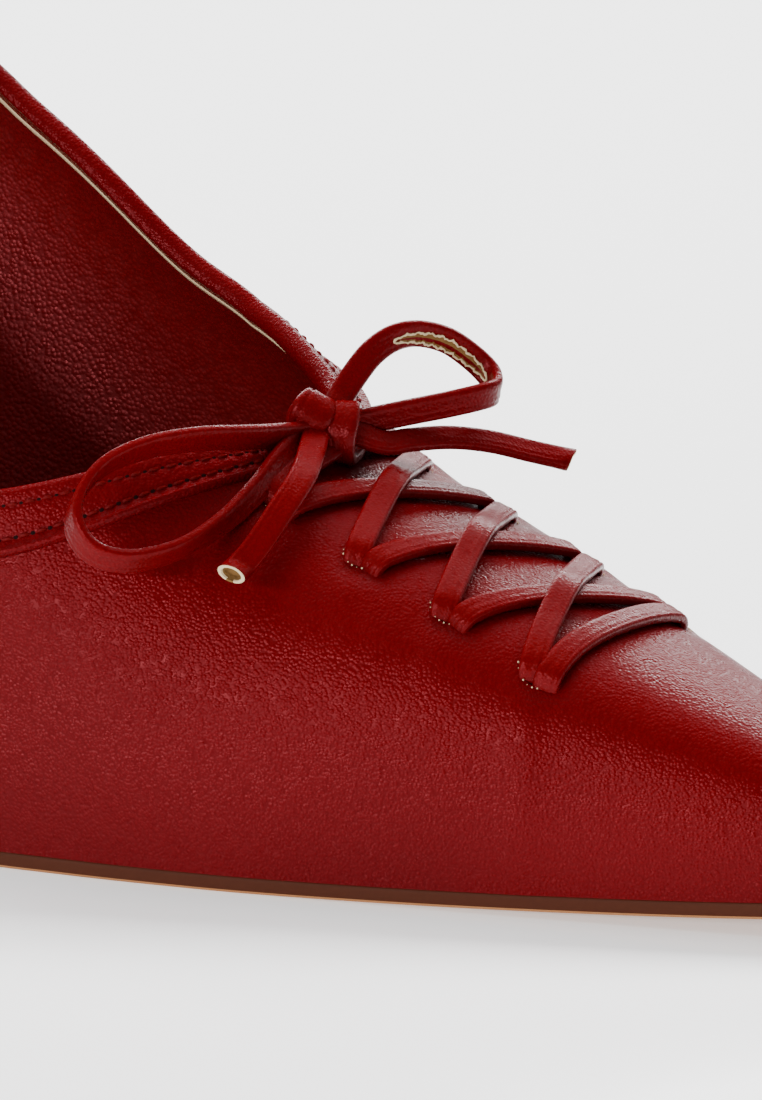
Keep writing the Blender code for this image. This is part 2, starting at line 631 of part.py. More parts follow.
def build_knot(finish):
    """The bow's knot: a rounded body with one turn of the lace round it."""
    middle = knot_place()
    bpy.ops.mesh.primitive_uv_sphere_add(
        segments=16, ring_count=10, radius=KNOT_SIZE / 2, location=middle, scale=KNOT_FORM
    )
    knot = bpy.context.object
    knot.name = knot.data.name = "bow_knot"
    knot.data.materials.append(finish)
    bpy.ops.mesh.primitive_torus_add(
        major_radius=KNOT_WRAP * KNOT_SIZE, minor_radius=KNOT_WRAP_HALF * KNOT_SIZE,
        major_segments=20, minor_segments=8, location=middle,
        rotation=(math.radians(90), 0, math.radians(KNOT_TURN)),
    )
    wrap = bpy.context.object
    wrap.name = "knot_wrap"
    bpy.ops.object.transform_apply(location=False, rotation=True, scale=False)
    wrap.scale = KNOT_FORM
    joined([knot, wrap])


def build_bow(finish):
    """Knot, loops and ends of the tied bow."""
    build_knot(finish)
    for name, route, across in BOW:
        loft(name, free_stretch(route, np.array(across)), finish)


def main():
    for thing in list(bpy.data.objects):
        bpy.data.objects.remove(thing)
    red = material("red leather", (0.19, 0.008, 0.01), 0.38)
    lace = material("red lace leather", (0.22, 0.015, 0.016), 0.4)
    sole_brown = material("sole leather", (0.11, 0.035, 0.022), 0.5)
    lining = material("dark red lining", (0.06, 0.006, 0.008), 0.5)
    black = material("tip rubber", (0.02, 0.015, 0.015), 0.6)
    cut_slits(build_upper(red))
    build_collar_band(red)
    build_outsole(sole_brown)
    build_insole(lining)
    build_heel(red)
    build_heel_tip(black)
    build_lace_crossings(lace)
    build_bow(lace)


main()
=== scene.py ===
"""Dresses a right-foot pointed court shoe: grained leather upper, folded band, laced front and bow.

Metres. X runs to the toe, Y to the inner (medial) side and Z up, from the middle of the heel tip's
foot. Every skin is read from one last, the same one that the frame's solids were made on. Places
along the shoe, called x in the functions, are counted from the back of the counter.
"""

import math

import bmesh
import bpy
import numpy as np
from bpy.props import FloatProperty, FloatVectorProperty, PointerProperty
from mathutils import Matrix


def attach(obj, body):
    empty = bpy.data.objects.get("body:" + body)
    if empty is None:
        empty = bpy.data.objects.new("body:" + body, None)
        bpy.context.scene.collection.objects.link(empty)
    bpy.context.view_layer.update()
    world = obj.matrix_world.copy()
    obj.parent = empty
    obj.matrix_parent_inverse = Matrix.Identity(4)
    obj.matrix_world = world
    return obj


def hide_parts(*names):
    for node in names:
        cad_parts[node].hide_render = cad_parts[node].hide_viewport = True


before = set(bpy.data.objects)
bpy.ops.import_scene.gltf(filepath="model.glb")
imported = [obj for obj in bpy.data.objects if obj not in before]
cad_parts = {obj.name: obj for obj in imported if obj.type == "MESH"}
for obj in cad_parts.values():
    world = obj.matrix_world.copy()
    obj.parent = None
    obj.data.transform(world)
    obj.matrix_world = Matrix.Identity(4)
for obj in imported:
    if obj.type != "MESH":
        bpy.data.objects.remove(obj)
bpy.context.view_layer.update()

bl_info = {
    "name": "Lace up heel",
    "version": (1, 0, 0),
    "blender": (4, 5, 0),
    "location": "View3D > Sidebar > Shoe",
    "description": "Leather surfaces, laces, stitching and stage of a laced court shoe",
    "category": "Object",
}

MM = 0.001

# Driving sizes of the last
LENGTH = 0.242
BACK_REACH = 0.022
BALL_WIDTH = 0.072
WAIST_WIDTH = 0.044
SEAT_WIDTH = 0.053
INSTEP_HEIGHT = 0.045
BACK_HEIGHT = 0.056
TOE_HEIGHT = 0.0095
HEEL_HEIGHT = 0.075
TOE_SPRING = 0.003
SOLE = 0.002
INSOLE = 0.0014
GAP = 0.0003
TREAD_BACK = 0.134
TREAD_FRONT = 0.162
THROAT = 0.1580
THROAT_ROUND = 0.027
HEEL_BREAST = 0.060
FAN_FROM = 0.44 * LENGTH
TOE_ROUND = 0.009
SEAT_ROUND = 0.027
COUNTER_LEAN = 0.005
COUNTER_SWELL = 0.0025
COUNTER_LENGTH = 0.060
TIP_LENGTH = 0.0105
TIP_WIDTH = 0.0095
TIP_THICKNESS = 0.0055
HEEL_TOP_INSET = 0.0008
SOLE_INSET = 0.0004
INSOLE_TOE = 0.006

# Lacing
LACE_LEVELS = 4
LACE_FROM = 0.1625
LACE_STEP = 0.0121
LACE_REACH_LATERAL = 0.0141
LACE_REACH_MEDIAL = 0.0134
LACE_HUMP = 0.18
LACE_BESIDE = 0.0009
SLIT_RADIUS = 0.0020
SLIT_WIDTH = 0.00042
SLIT_SET_BACK = 0.0016
SLIT_DIP = 0.00042
SLIT_SWELL = 0.00030
BALL_CREASE = (0.118, -0.033, 0.020)
KNOT_ALONG = 0.1606
KNOT_SIZE = 0.0060
BAND_THICKNESS = 0.0007

# Collar band and its sewing, over the skin of the last and down from the topline
BAND_BODY = 0.00062
BAND_ROLL = 0.00042
UPPER_ROW = 0.0012
LOWER_ROW_FROM_EDGE = 0.0019
TONGUE = 0.0015
LINING_ROW = 0.0029
HOLE_RADIUS = 0.00026

# One row for each section of the last. Columns of the short table: share of the length, the width
# that the section follows, its half widths at the feather line on the lateral and the medial side
# and the swell of each side beyond them as shares of that width, the height that it follows, and
# the ridge's height over the feather line and its sideways place as shares.
LAST = tuple(
    (place * LENGTH, *(share * width for share in shares), up * height, aside * width)
    for place, width, shares, height, up, aside in (
        (0.000, SEAT_WIDTH, (0.50, 0.49, 0.028, 0.028), BACK_HEIGHT, 1.50, 0),
        (0.091, SEAT_WIDTH, (0.50, 0.49, 0.028, 0.028), BACK_HEIGHT, 1.36, 0),
        (0.174, SEAT_WIDTH, (0.50, 0.47, 0.04, 0.06), BACK_HEIGHT, 1.18, 0),
        (0.248, SEAT_WIDTH, (0.48, 0.425, 0.08, 0.13), BACK_HEIGHT, 1.12, 0),
        (0.326, WAIST_WIDTH, (0.545, 0.455, 0.16, 0.27), BACK_HEIGHT, 1.10, 0),
        (0.401, WAIST_WIDTH, (0.60, 0.51, 0.14, 0.24), BACK_HEIGHT, 1.14, 0),
        (0.471, BALL_WIDTH, (0.445, 0.395, 0.055, 0.085), INSTEP_HEIGHT, 1.48, 0),
        (0.5455, BALL_WIDTH, (0.514, 0.470, 0.02, 0.035), INSTEP_HEIGHT, 1.40, 0),
        (0.607, BALL_WIDTH, (0.483, 0.488, 0.011, 0.014), INSTEP_HEIGHT, 1.18, 0),
        (0.669, BALL_WIDTH, (0.433, 0.470, 0.007, 0.008), INSTEP_HEIGHT, 0.95, 0),
        (0.752, BALL_WIDTH, (0.350, 0.393, 0.006, 0.006), INSTEP_HEIGHT, 0.76, 0.003),
        (0.835, BALL_WIDTH, (0.262, 0.289, 0.004, 0.004), INSTEP_HEIGHT, 0.579, 0.007),
        (0.917, BALL_WIDTH, (0.176, 0.179, 0.003, 0.003), INSTEP_HEIGHT, 0.398, 0.014),
        (0.967, BALL_WIDTH, (0.119, 0.115, 0.002, 0.002), TOE_HEIGHT, 1.32, 0.018),
        (1.000, BALL_WIDTH, (0.076, 0.076, 0.001, 0.001), TOE_HEIGHT, 0.95, 0.021),
    )
)
# Columns: place along the shoe, share of the height up which the wall stands, share of the width
# out to which the top stays flat.
FULLNESS = (
    (0.00 * LENGTH, 0.60, 0.72),
    (0.25 * LENGTH, 0.62, 0.76),
    (0.40 * LENGTH, 0.66, 0.78),
    (0.5455 * LENGTH, 0.66, 0.70),
    (0.61 * LENGTH, 0.68, 0.64),
    (0.67 * LENGTH, 0.72, 0.64),
    (0.75 * LENGTH, 0.80, 0.72),
    (0.84 * LENGTH, 0.855, 0.765),
    (0.92 * LENGTH, 0.87, 0.775),
    (1.00 * LENGTH, 0.87, 0.775),
)
# Columns: place along the shoe, the topline's height on the lateral and on the medial side.
TOPLINE = (
    (0.000 * LENGTH, 1.00 * BACK_HEIGHT, 1.00 * BACK_HEIGHT),
    (0.091 * LENGTH, 0.87 * BACK_HEIGHT, 0.92 * BACK_HEIGHT),
    (0.174 * LENGTH, 0.73 * BACK_HEIGHT, 0.83 * BACK_HEIGHT),
    (0.248 * LENGTH, 0.63 * BACK_HEIGHT, 0.78 * BACK_HEIGHT),
    (0.326 * LENGTH, 0.58 * BACK_HEIGHT, 0.81 * BACK_HEIGHT),
    (0.401 * LENGTH, 0.80 * INSTEP_HEIGHT, 1.16 * INSTEP_HEIGHT),
    (0.471 * LENGTH, 0.87 * INSTEP_HEIGHT, 1.27 * INSTEP_HEIGHT),
    (0.550 * LENGTH, 0.89 * INSTEP_HEIGHT, 1.20 * INSTEP_HEIGHT),
    (0.607 * LENGTH, 0.86 * INSTEP_HEIGHT, 1.06 * INSTEP_HEIGHT),
    (THROAT, 0.82 * INSTEP_HEIGHT, 0.92 * INSTEP_HEIGHT),
)
# Columns: share of the way from the tread to the back of the seat, share of the heel's height.
ARCH = (
    (0.000, 0.000), (0.075, 0.031), (0.149, 0.118), (0.239, 0.266), (0.313, 0.399), (0.410, 0.560),
    (0.478, 0.652), (0.552, 0.726), (0.687, 0.816), (0.836, 0.900), (1.000, 1.000),
)
# Columns: share of the way up the heel, share of the way out to the seat's outline.
HEEL_FLARE = (
    (0.00, 0.00), (0.15, 0.015), (0.30, 0.04), (0.45, 0.09), (0.58, 0.16), (0.70, 0.27),
    (0.80, 0.42), (0.88, 0.60), (0.94, 0.79), (0.98, 0.94), (1.00, 1.00),
)
# The bow's stretches. Columns: a place in millimetres from the middle of the knot, then the way
# across the strap there.
LOOP_LEFT = (
    (-0.6, -2.5, -1.6, 0.5, -0.09, 0.86), (-1.4, -5.3, -1.8, 0.45, -0.12, 0.89),
    (-2.0, -9.3, -1.4, 0.4, -0.14, 0.9), (-3.0, -13.6, -0.9, 0.37, -0.17, 0.91),
    (-5.4, -19.6, -0.3, 0.37, -0.17, 0.91), (-8.3, -25.4, -0.6, 0.46, -0.13, 0.88),
    (-10.4, -30.5, -2.0, 0.54, -0.15, 0.83), (-11.0, -34.1, -4.3, 0.54, -0.16, 0.83),
    (-10.3, -36.7, -7.0, 0.57, -0.11, 0.82), (-8.7, -37.2, -9.5, 0.57, -0.11, 0.82),
    (-6.5, -36.2, -11.1, 0.55, -0.13, 0.82), (-4.0, -33.6, -11.7, 0.52, -0.14, 0.84),
    (-1.5, -28.5, -11.0, 0.52, -0.14, 0.84), (-0.2, -22.1, -9.1, 0.22, -0.32, 0.92),
    (0.1, -15.6, -6.4, -0.11, -0.51, 0.85), (-0.3, -10.4, -4.0, -0.23, -0.62, 0.75),
    (-1.0, -6.5, -2.8, -0.15, -0.55, 0.82), (-1.2, -3.2, -1.9, 0.2, -0.28, 0.94),
)
LOOP_RIGHT = (
    (0.2, -0.1, 0.3, -0.64, -0.4, 0.65), (0.1, 1.3, 1.7, -0.66, -0.41, 0.63),
    (0.5, 3.8, 4.1, -0.65, -0.42, 0.63), (1.0, 6.2, 6.0, -0.49, -0.37, 0.79),
    (1.9, 8.7, 7.3, -0.28, -0.31, 0.91), (3.0, 11.1, 7.7, 0.08, -0.11, 0.99),
    (4.2, 13.4, 7.3, 0.23, 0.01, 0.97), (5.6, 15.5, 6.3, 0.41, 0.11, 0.91),
    (7.3, 17.1, 4.6, 0.47, 0.2, 0.86), (8.9, 17.9, 3.0, 0.44, 0.25, 0.86),
    (10.5, 17.4, 1.8, 0.26, 0.15, 0.95), (11.9, 15.7, 1.1, 0.14, 0.07, 0.99),
    (11.7, 13.3, 0.9, 0.12, 0.0, 0.99), (9.4, 10.1, 0.3, 0.16, -0.05, 0.99),
    (6.2, 6.5, -0.4, 0.18, -0.08, 0.98), (3.1, 2.9, -1.1, 0.19, -0.09, 0.98),
    (1.3, 0.5, -1.4, 0.24, 0.04, 0.97),
)
END_LEFT = (
    (0.1, -1.8, -1.1, 0.88, 0.43, -0.18), (0.4, -4.0, -1.8, 0.83, 0.52, -0.19),
    (1.9, -7.0, -2.7, 0.83, 0.52, -0.22), (4.7, -12.4, -4.1, 0.82, 0.49, -0.29),
    (5.7, -16.0, -5.6, 0.8, 0.44, -0.41), (5.9, -18.7, -7.2, 0.78, 0.4, -0.49),
    (5.8, -21.2, -9.2, 0.78, 0.4, -0.49), (5.3, -23.4, -11.3, 0.78, 0.41, -0.47),
    (4.8, -25.2, -12.7, 0.8, 0.45, -0.39), (4.9, -27.2, -13.3, 0.83, 0.52, -0.2),
)
END_RIGHT = (
    (2.6, 0.4, -2.3, -0.37, 0.53, 0.77), (4.5, 1.7, -3.1, -0.44, 0.63, 0.64),
    (5.6, 3.4, -3.6, -0.47, 0.67, 0.58), (6.8, 5.7, -3.5, -0.48, 0.69, 0.53),
    (9.1, 10.5, -3.8, -0.49, 0.7, 0.52), (11.9, 14.7, -4.7, -0.49, 0.7, 0.52),
    (14.9, 18.4, -6.1, -0.49, 0.7, 0.52), (18.3, 22.2, -7.5, -0.49, 0.7, 0.52),
)
# First and last row of the right loop between which its seam stands open
SEAM_ROWS = (4, 10)
# The knot's turns. Columns: middle in millimetres from the middle of the knot, axis, radius up,
# radius deep, width, thickness, all in millimetres.
KNOT_TURNS = (
    ((1.8, 0.0, -2.3), (0.93, 0.36, -0.02), 2.9, 2.5, 3.7, 1.9),
    ((-1.5, -2.5, -0.1), (0.76, 0.44, -0.48), 1.6, 1.55, 5.2, 2.6),
    ((0.2, -1.6, -1.2), (0.75, -0.35, 0.55), 1.5, 1.5, 3.2, 1.9),
)

# Camera: its bearing round the shoe, its height angle, what it looks at and how far it stands off
CAMERA_AZIMUTH = 35.0
CAMERA_ELEVATION = 13.5
CAMERA_TARGET = (0.1444, 0.0012, 0.0342)
CAMERA_DISTANCE = 1.0
CAMERA_LENS = 281.5
CAMERA_SENSOR = 36.0


def size_property(name, description, metres):
    """A length of the leather work."""
    return FloatProperty(name=name, description=description, default=metres, unit="LENGTH")


class ShoeSizes(bpy.types.PropertyGroup):
    """Sizes of the leather work that a user would change."""

    wall: size_property("Upper thickness", "Leather and lining together", 0.0016)
    band_width: size_property("Band width", "Folded band along the topline", 0.0072)
    band_at_throat: size_property("Band width at the throat", "Where it turns round the front", 0.0042)
    lace_width: size_property("Lace width", "Folded leather strip, laid flat", 0.0032)
    lace_thickness: size_property("Lace thickness", "Over its rolled edges", 0.0015)
    stitch_pitch: size_property("Stitch pitch", "From one needle hole to the next", 0.0021)
    thread: size_property("Thread", "Thickness of the sewing thread", 0.00042)
    grain: size_property("Grain", "Width of one pebble of the leather's grain", 0.00040)


def colour_property(name, description, code):
    """A colour property whose default is the sRGB hex code, as linear light."""
    return FloatVectorProperty(
        name=name, description=description, default=linear(code)[:3], subtype="COLOR", min=0, max=1
    )


def linear(code):
    """Linear RGBA of an sRGB hex code."""
    values = [int(code[i : i + 2], 16) / 255 for i in (1, 3, 5)]
    return (*(v / 12.92 if v <= 0.04045 else ((v + 0.055) / 1.055) ** 2.4 for v in values), 1.0)


class ShoeColours(bpy.types.PropertyGroup):
    """Colours of the shoe's materials."""

    leather: colour_property("Leather", "Body colour of the red calfskin", "#5b0207")
    # Painted shade: the colour that the creases of the grain are darkened to
    leather_crease_shade: colour_property("Leather, crease shade", "In the creases of its grain", "#300103")
    lace: colour_property("Lace", "The folded lace leather", "#5e0307")
    lining: colour_property("Lining", "Dark red lining leather", "#680a0e")
    # Painted shade: the colour that the creases of the lining's grain are darkened to
    lining_crease_shade: colour_property("Lining, crease shade", "In the creases of the lining's grain", "#1d0304")
    edge: colour_property("Cut edge", "Undyed cut edge of the leather", "#d8c19a")
    suede: colour_property("Suede", "Flesh side inside the lace", "#7a5a34")
    sole: colour_property("Sole edge", "Stained leather sole edge", "#4a2416")
    # The sole's own bare tan underside, also carried up over the lower corner of the edge, where the pale
    # line is a painted highlight
    sole_underside_and_edge_highlight: colour_property("Sole underside and edge highlight", "Bare underside of the sole", "#b07a50")
    hole: colour_property("Needle hole", "Shade inside a needle hole", "#160303")
    rubber: colour_property("Rubber", "Heel tip", "#272121")
    thread: colour_property("Thread", "Red sewing thread", "#5a0306")


def unit(vectors):
    """Each vector divided by its length."""
    return vectors / np.maximum(np.linalg.norm(vectors, axis=-1, keepdims=True), 1e-12)


def curve_through(rows, column, x):
    """One column of a table at x: cubics between the rows, with slopes that never overshoot them."""
    knots = np.array([row[0] for row in rows])
    values = np.array([row[column] for row in rows])
    step = np.diff(knots)
    slope = np.diff(values) / step
    mean = (step[1:] * slope[:-1] + step[:-1] * slope[1:]) / (step[1:] + step[:-1])
    limit = 3 * np.minimum(abs(slope[:-1]), abs(slope[1:]))
    inner = np.where(slope[:-1] * slope[1:] > 0, np.sign(mean) * np.minimum(abs(mean), limit), 0)
    tangent = np.concatenate([slope[:1], inner, slope[-1:]])
    x = np.clip(x, knots[0], knots[-1])
    i = np.clip(np.searchsorted(knots, x) - 1, 0, len(step) - 1)
    t = (x - knots[i]) / step[i]
    return (
        values[i] * (1 + 2 * t) * (1 - t) ** 2
        + step[i] * tangent[i] * t * (1 - t) ** 2
        + values[i + 1] * (3 - 2 * t) * t**2
        - step[i] * tangent[i + 1] * t**2 * (1 - t)
    )


def rounding(distance, length):
    """A quarter ellipse: 0 at distance 0, 1 from length on."""
    return np.sqrt(1 - (1 - np.clip(distance / length, 0, 1)) ** 2)


def bump_at(distance, radius):
    """A bell: one over e to the square of the distance in radii."""
    return np.exp(-((distance / radius) ** 2))


def sole_height(x):
    """The sole's underside: flat at the tread, on the arch's curve behind, a parabola before it."""
    back = np.clip((TREAD_BACK - x) / TREAD_BACK, 0, 1)
    front = np.clip((x - TREAD_FRONT) / (LENGTH - TREAD_FRONT), 0, 1)
    return curve_through(ARCH, 1, back) * (HEEL_HEIGHT - SOLE) + TOE_SPRING * front**2


def feather_height(x):
    """The feather line: a sole's thickness over the sole's underside."""
    return sole_height(x) + SOLE


def ridge_height(x):
    """The ridge over the feather line, closed along a quarter ellipse at the toe."""
    return curve_through(LAST, 5, x) * rounding(LENGTH - x, TOE_ROUND)


def last_point(x, share, side):
    """The last's skin, from the place along it and the share of the way from feather to ridge.

    Out is a cubic in the share, from the feather's half width over the swell to the ridge, and up
    is a cubic that rises along the wall and ends level. Side is -1 lateral, 1 medial.
    """
    closing = rounding(LENGTH - x, TOE_ROUND) * rounding(x, SEAT_ROUND)
    lateral = side < 0
    width = np.where(lateral, curve_through(LAST, 1, x), curve_through(LAST, 2, x))
    swell = np.where(lateral, curve_through(LAST, 3, x), curve_through(LAST, 4, x))
    rise = curve_through(FULLNESS, 1, x)
    reach = curve_through(FULLNESS, 2, x)
    down = 1 - share
    out = width * down**3 + (width + swell) * 3 * down * share * (down + reach * share)
    up = ridge_height(x) * share * (3 * rise * down**2 + 3 * down * share + share**2)
    height = up / BACK_HEIGHT
    near_back = np.clip(1 - x / COUNTER_LENGTH, 0, 1) ** 2
    lean = near_back * (COUNTER_LEAN * height**2 - COUNTER_SWELL * np.sin(math.pi * height))
    y = curve_through(LAST, 6, x) + side * out * closing
    return np.stack([x + lean - BACK_REACH, y, feather_height(x) + up], axis=-1)


def vamp_point(x, y):
    """The skin over the plan place x, y: the share is halved in until the section reaches y."""
    side = np.where(y < curve_through(LAST, 6, x), -1, 1)
    low, high = 0.4 * np.ones_like(x), np.ones_like(x)
    for _ in range(30):
        middle = (low + high) / 2
        beyond = side * (last_point(x, middle, side)[..., 1] - y) > 0
        low, high = np.where(beyond, middle, low), np.where(beyond, high, middle)
    return last_point(x, (low + high) / 2, side)


def vamp_normal(x, y):
    """Outward normal of the vamp: the cross product of its two differences in plan."""
    step = 0.0005
    along = vamp_point(x + step, y) - vamp_point(x - step, y)
    across = vamp_point(x, y + step) - vamp_point(x, y - step)
    return unit(np.cross(along, across))


def share_at_height(x, height):
    """The share at which a section reaches this height, halved in on its cubic."""
    rise = curve_through(FULLNESS, 1, x)
    target = np.clip(height / ridge_height(x), 0, 1)
    low, high = np.zeros_like(x), np.ones_like(x)
    for _ in range(30):
        middle = (low + high) / 2
        down = 1 - middle
        under = middle * (3 * rise * down**2 + 3 * down * middle + middle**2) < target
        low, high = np.where(under, middle, low), np.where(under, high, middle)
    return (low + high) / 2


def half_girth(x, side):
    """Length of a half section, summed over short chords."""
    shares = np.linspace(0, 1, 33)
    points = last_point(x[..., None] + 0 * shares, shares, side[..., None] + 0 * shares)
    return np.linalg.norm(np.diff(points, axis=-2), axis=-1).sum(axis=-1)


def upper_skin(columns, levels):
    """The upper's outside as a grid: levels up from the feather line, columns once round the shoe.

    A column starts on the feather line, where places are crowded at both ends by a cosine, and
    ends on the topline, drawn in round the throat. Its distance from the ridge changes evenly.
    """
    turn = np.arange(columns) / columns * 2
    side = np.where(turn <= 1, -1, 1)
    start = LENGTH * (1 - np.cos(math.pi * np.where(turn <= 1, turn, 2 - turn))) / 2
    way = np.clip((start - FAN_FROM) / (LENGTH - FAN_FROM), 0, 1)
    pull = (LENGTH - FAN_FROM) / (THROAT - FAN_FROM)
    drawn = FAN_FROM + (THROAT - FAN_FROM) * pull * way / (1 + (pull - 1) * way)
    end = np.where(start < FAN_FROM, start, drawn)
    edge = np.where(side < 0, curve_through(TOPLINE, 1, end), curve_through(TOPLINE, 2, end))
    top = 1 - (1 - share_at_height(end, edge)) * rounding(THROAT - end, THROAT_ROUND)
    level = np.asarray(levels)[:, None]
    x = start + (end - start) * level
    first, last = half_girth(start, side), (1 - top) * half_girth(end, side)
    girth = np.maximum(half_girth(x, side + 0 * x), 1e-9)
    share = 1 - np.clip((first + (last - first) * level) / girth, 0, 1)
    share = np.where(level <= 0, 0, share)
    share = np.where(start >= LENGTH - 1e-9, 1, share)
    return last_point(x, share, side + 0 * x), start


def skin_normals(grid):
    """Outward unit normals of a skin grid: the cross product of its differences."""
    round_it = np.roll(grid, -1, axis=1) - np.roll(grid, 1, axis=1)
    return unit(np.cross(round_it, np.gradient(grid, axis=0)))


def down_the_skin(grid, outward, distance):
    """Points and normals at given distances below the topline, between the grid's rows by arc length."""
    run = np.linalg.norm(np.diff(grid, axis=0), axis=-1)
    below = np.concatenate([np.cumsum(run[::-1], axis=0)[::-1], np.zeros((1, grid.shape[1]))])
    i = (below[None] >= distance[:, None]).sum(axis=1) - 1
    i = np.clip(i, 0, len(grid) - 2)
    columns = np.arange(grid.shape[1])[None]
    first, second = below[i, columns], below[i + 1, columns]
    f = np.clip((first - distance) / np.maximum(first - second, 1e-9), 0, 1)[..., None]
    points = grid[i, columns] * (1 - f) + grid[i + 1, columns] * f
    return points, unit(outward[i, columns] * (1 - f) + outward[i + 1, columns] * f)


def slit_places(level):
    """Plan places of one level's lateral and medial slit."""
    x = LACE_FROM + level * LACE_STEP
    return (x, -LACE_REACH_LATERAL), (x, LACE_REACH_MEDIAL)


def knot_middle():
    """Middle of the knot, over the front of the throat."""
    x, y = np.array([KNOT_ALONG]), np.array([0.0])
    return vamp_point(x, y)[0] + np.array([0, 0, KNOT_SIZE / 2 + BAND_THICKNESS + 3 * GAP])


def distances(line):
    """Distance of each point of a line from its first one, along it."""
    return np.concatenate([[0], np.cumsum(np.linalg.norm(np.diff(line, axis=0), axis=1))])


def smooth_line(points, count):
    """Evenly spaced points on a Catmull-Rom spline through the given ones."""
    points = np.asarray(points, float)
    padded = np.concatenate([[2 * points[0] - points[1]], points, [2 * points[-1] - points[-2]]])
    t = np.linspace(0, len(points) - 1, 40 * len(points))
    i = np.minimum(t.astype(int), len(points) - 2)
    f = (t - i)[:, None]
    a, b, c, d = (padded[i + k] for k in range(4))
    cubic = (2 * a - 5 * b + 4 * c - d) * f**2 + (3 * b - a - 3 * c + d) * f**3
    fine = b + 0.5 * ((c - a) * f + cubic)
    run = distances(fine[:, :3])
    at = np.linspace(0, run[-1], count)
    return np.stack([np.interp(at, run, fine[:, k]) for k in range(fine.shape[1])], -1)


def turns(count):
    """Angles of evenly spaced points once round a circle."""
    return np.arange(count) / count * 2 * math.pi


def circles(first, second, count):
    """A circle of points in the plane of each pair of directions."""
    turn = turns(count)
    return first[:, None] * np.cos(turn)[:, None] + second[:, None] * np.sin(turn)[:, None]


def outward_mesh(name, points, faces):
    """A mesh of closed shapes with every face pointing out of its shape."""
    mesh = bpy.data.meshes.new(name)
    mesh.from_pydata(np.asarray(points).reshape(-1, 3), [], [tuple(map(int, face)) for face in faces])
    shape = bmesh.new()
    shape.from_mesh(mesh)
    bmesh.ops.recalc_face_normals(shape, faces=shape.faces)
    if shape.calc_volume(signed=True) < 0:
        bmesh.ops.reverse_faces(shape, faces=shape.faces)
    shape.to_mesh(mesh)
    shape.free()
    return mesh


def add_piece(name, points, faces, finishes, finish_of_face=None, replaces=()):
    """A smooth piece from points and faces, riding on the shoe."""
    mesh = outward_mesh(name, points, faces)
    for finish in finishes:
        mesh.materials.append(material(finish))
    if finish_of_face is not None:
        mesh.polygons.foreach_set("material_index", np.asarray(finish_of_face, np.int32))
    mesh.shade_smooth()
    mesh.set_sharp_from_angle(angle=math.radians(50))
    piece = bpy.data.objects.new(name, mesh)
    bpy.context.scene.collection.objects.link(piece)
    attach(piece, "root")
    if replaces:
        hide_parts(*replaces)
    return piece


def quads(rows, columns, wrap_rows=False, first=0):
    """Four-sided faces of a grid of points, closed round its columns and, if asked, its rows."""
    index = first + np.arange(rows * columns).reshape(rows, columns)
    if wrap_rows:
        index = np.concatenate([index, index[:1]])
    index = np.concatenate([index, index[:, :1]], axis=1)
    corners = index[:-1, :-1], index[:-1, 1:], index[1:, 1:], index[1:, :-1]
    return np.stack([c.ravel() for c in corners], axis=1)


def tube(sections):
    """Points and faces of a closed tube: its rings, then a fan of triangles over each end."""
    rings, columns = sections.shape[:2]
    points = np.concatenate([sections.reshape(-1, 3), sections[[0, -1]].mean(axis=1)])
    faces = quads(rings, columns).tolist()
    for ring, hub in ((0, rings * columns), (rings - 1, rings * columns + 1)):
        base = ring * columns
        faces += [(base + i, base + (i + 1) % columns, hub) for i in range(columns)]
    return points, faces


def joined(parts):
    """Points and faces of several meshes as one."""
    points, faces = zip(*parts)
    starts = np.cumsum([0, *(len(p) for p in points[:-1])])
    return np.concatenate(points), [
        tuple(int(i + start) for i in face) for start, some in zip(starts, faces) for face in some
    ]


def spindles(rings):
    """Faces of many small closed shapes, each a row of rings of six points with a cap on both ends."""
    count, rows = rings.shape[:2]
    end = 6 * rows - 6
    caps = [(0, 5, 4, 3), (0, 3, 2, 1), (end, end + 1, end + 2, end + 3), (end, end + 3, end + 4, end + 5)]
    one = np.concatenate([quads(rows, 6), caps])
    return (one[None] + 6 * rows * np.arange(count)[:, None, None]).reshape(-1, 4)


def strap_frame(line, across):
    """Unit ways across and out of a strap along a line, square to the line."""
    along = unit(np.gradient(line, axis=0))
    across = unit(across - (across * along).sum(-1, keepdims=True) * along)
    return across, np.cross(along, across)


def strap_profile(count=40):
    """Section of a folded strip for a width and a thickness of one, its middle flatter than its edges.

    Across is a cosine drawn towards its ends and out is a sine raised to a small power. The middle
    sinks by a sixth, and one narrow groove sets off the roll along an edge.
    """
    turn = turns(count)
    c, s = np.cos(turn), np.sin(turn)
    across = np.sign(c) * abs(c) ** 0.72 / 2
    sunk = 0.17 * bump_at(across, 0.27) + 0.20 * bump_at(across + 0.30, 0.035)
    return across, np.sign(s) * abs(s) ** 0.62 / 2 * (1 - sunk)


def strap(line, across, width, thickness, opened=0.0):
    """Rings of a strap: its section set square to the line, more of an oval where it is laid open."""
    side, out = strap_frame(line, across)
    a, b = strap_profile()
    turn = turns(len(a))
    opened = (opened * np.ones(len(line)))[:, None]
    wide = width * (a + (0.53 * np.cos(turn) - a) * opened)
    deep = thickness * (b + (0.72 * np.sin(turn) - b) * opened)
    return line[:, None] + side[:, None] * wide[..., None] + out[:, None] * deep[..., None]


def node(tree, kind, inputs=None, **settings):
    """Adds a node with its settings; an input is linked if it is a socket and set if it is a value."""
    added = tree.nodes.new(kind)
    for name, value in settings.items():
        setattr(added, name, value)
    for name, value in (inputs or {}).items():
        if isinstance(value, bpy.types.NodeSocket):
            tree.links.new(value, added.inputs[name])
        else:
            added.inputs[name].default_value = value
    return added


def new_material(name):
    """A material with its Principled shader's tree ready for more nodes."""
    made = bpy.data.materials.new(name)
    made.use_nodes = True
    tree = made.node_tree
    return made, tree, tree.nodes["Principled BSDF"]


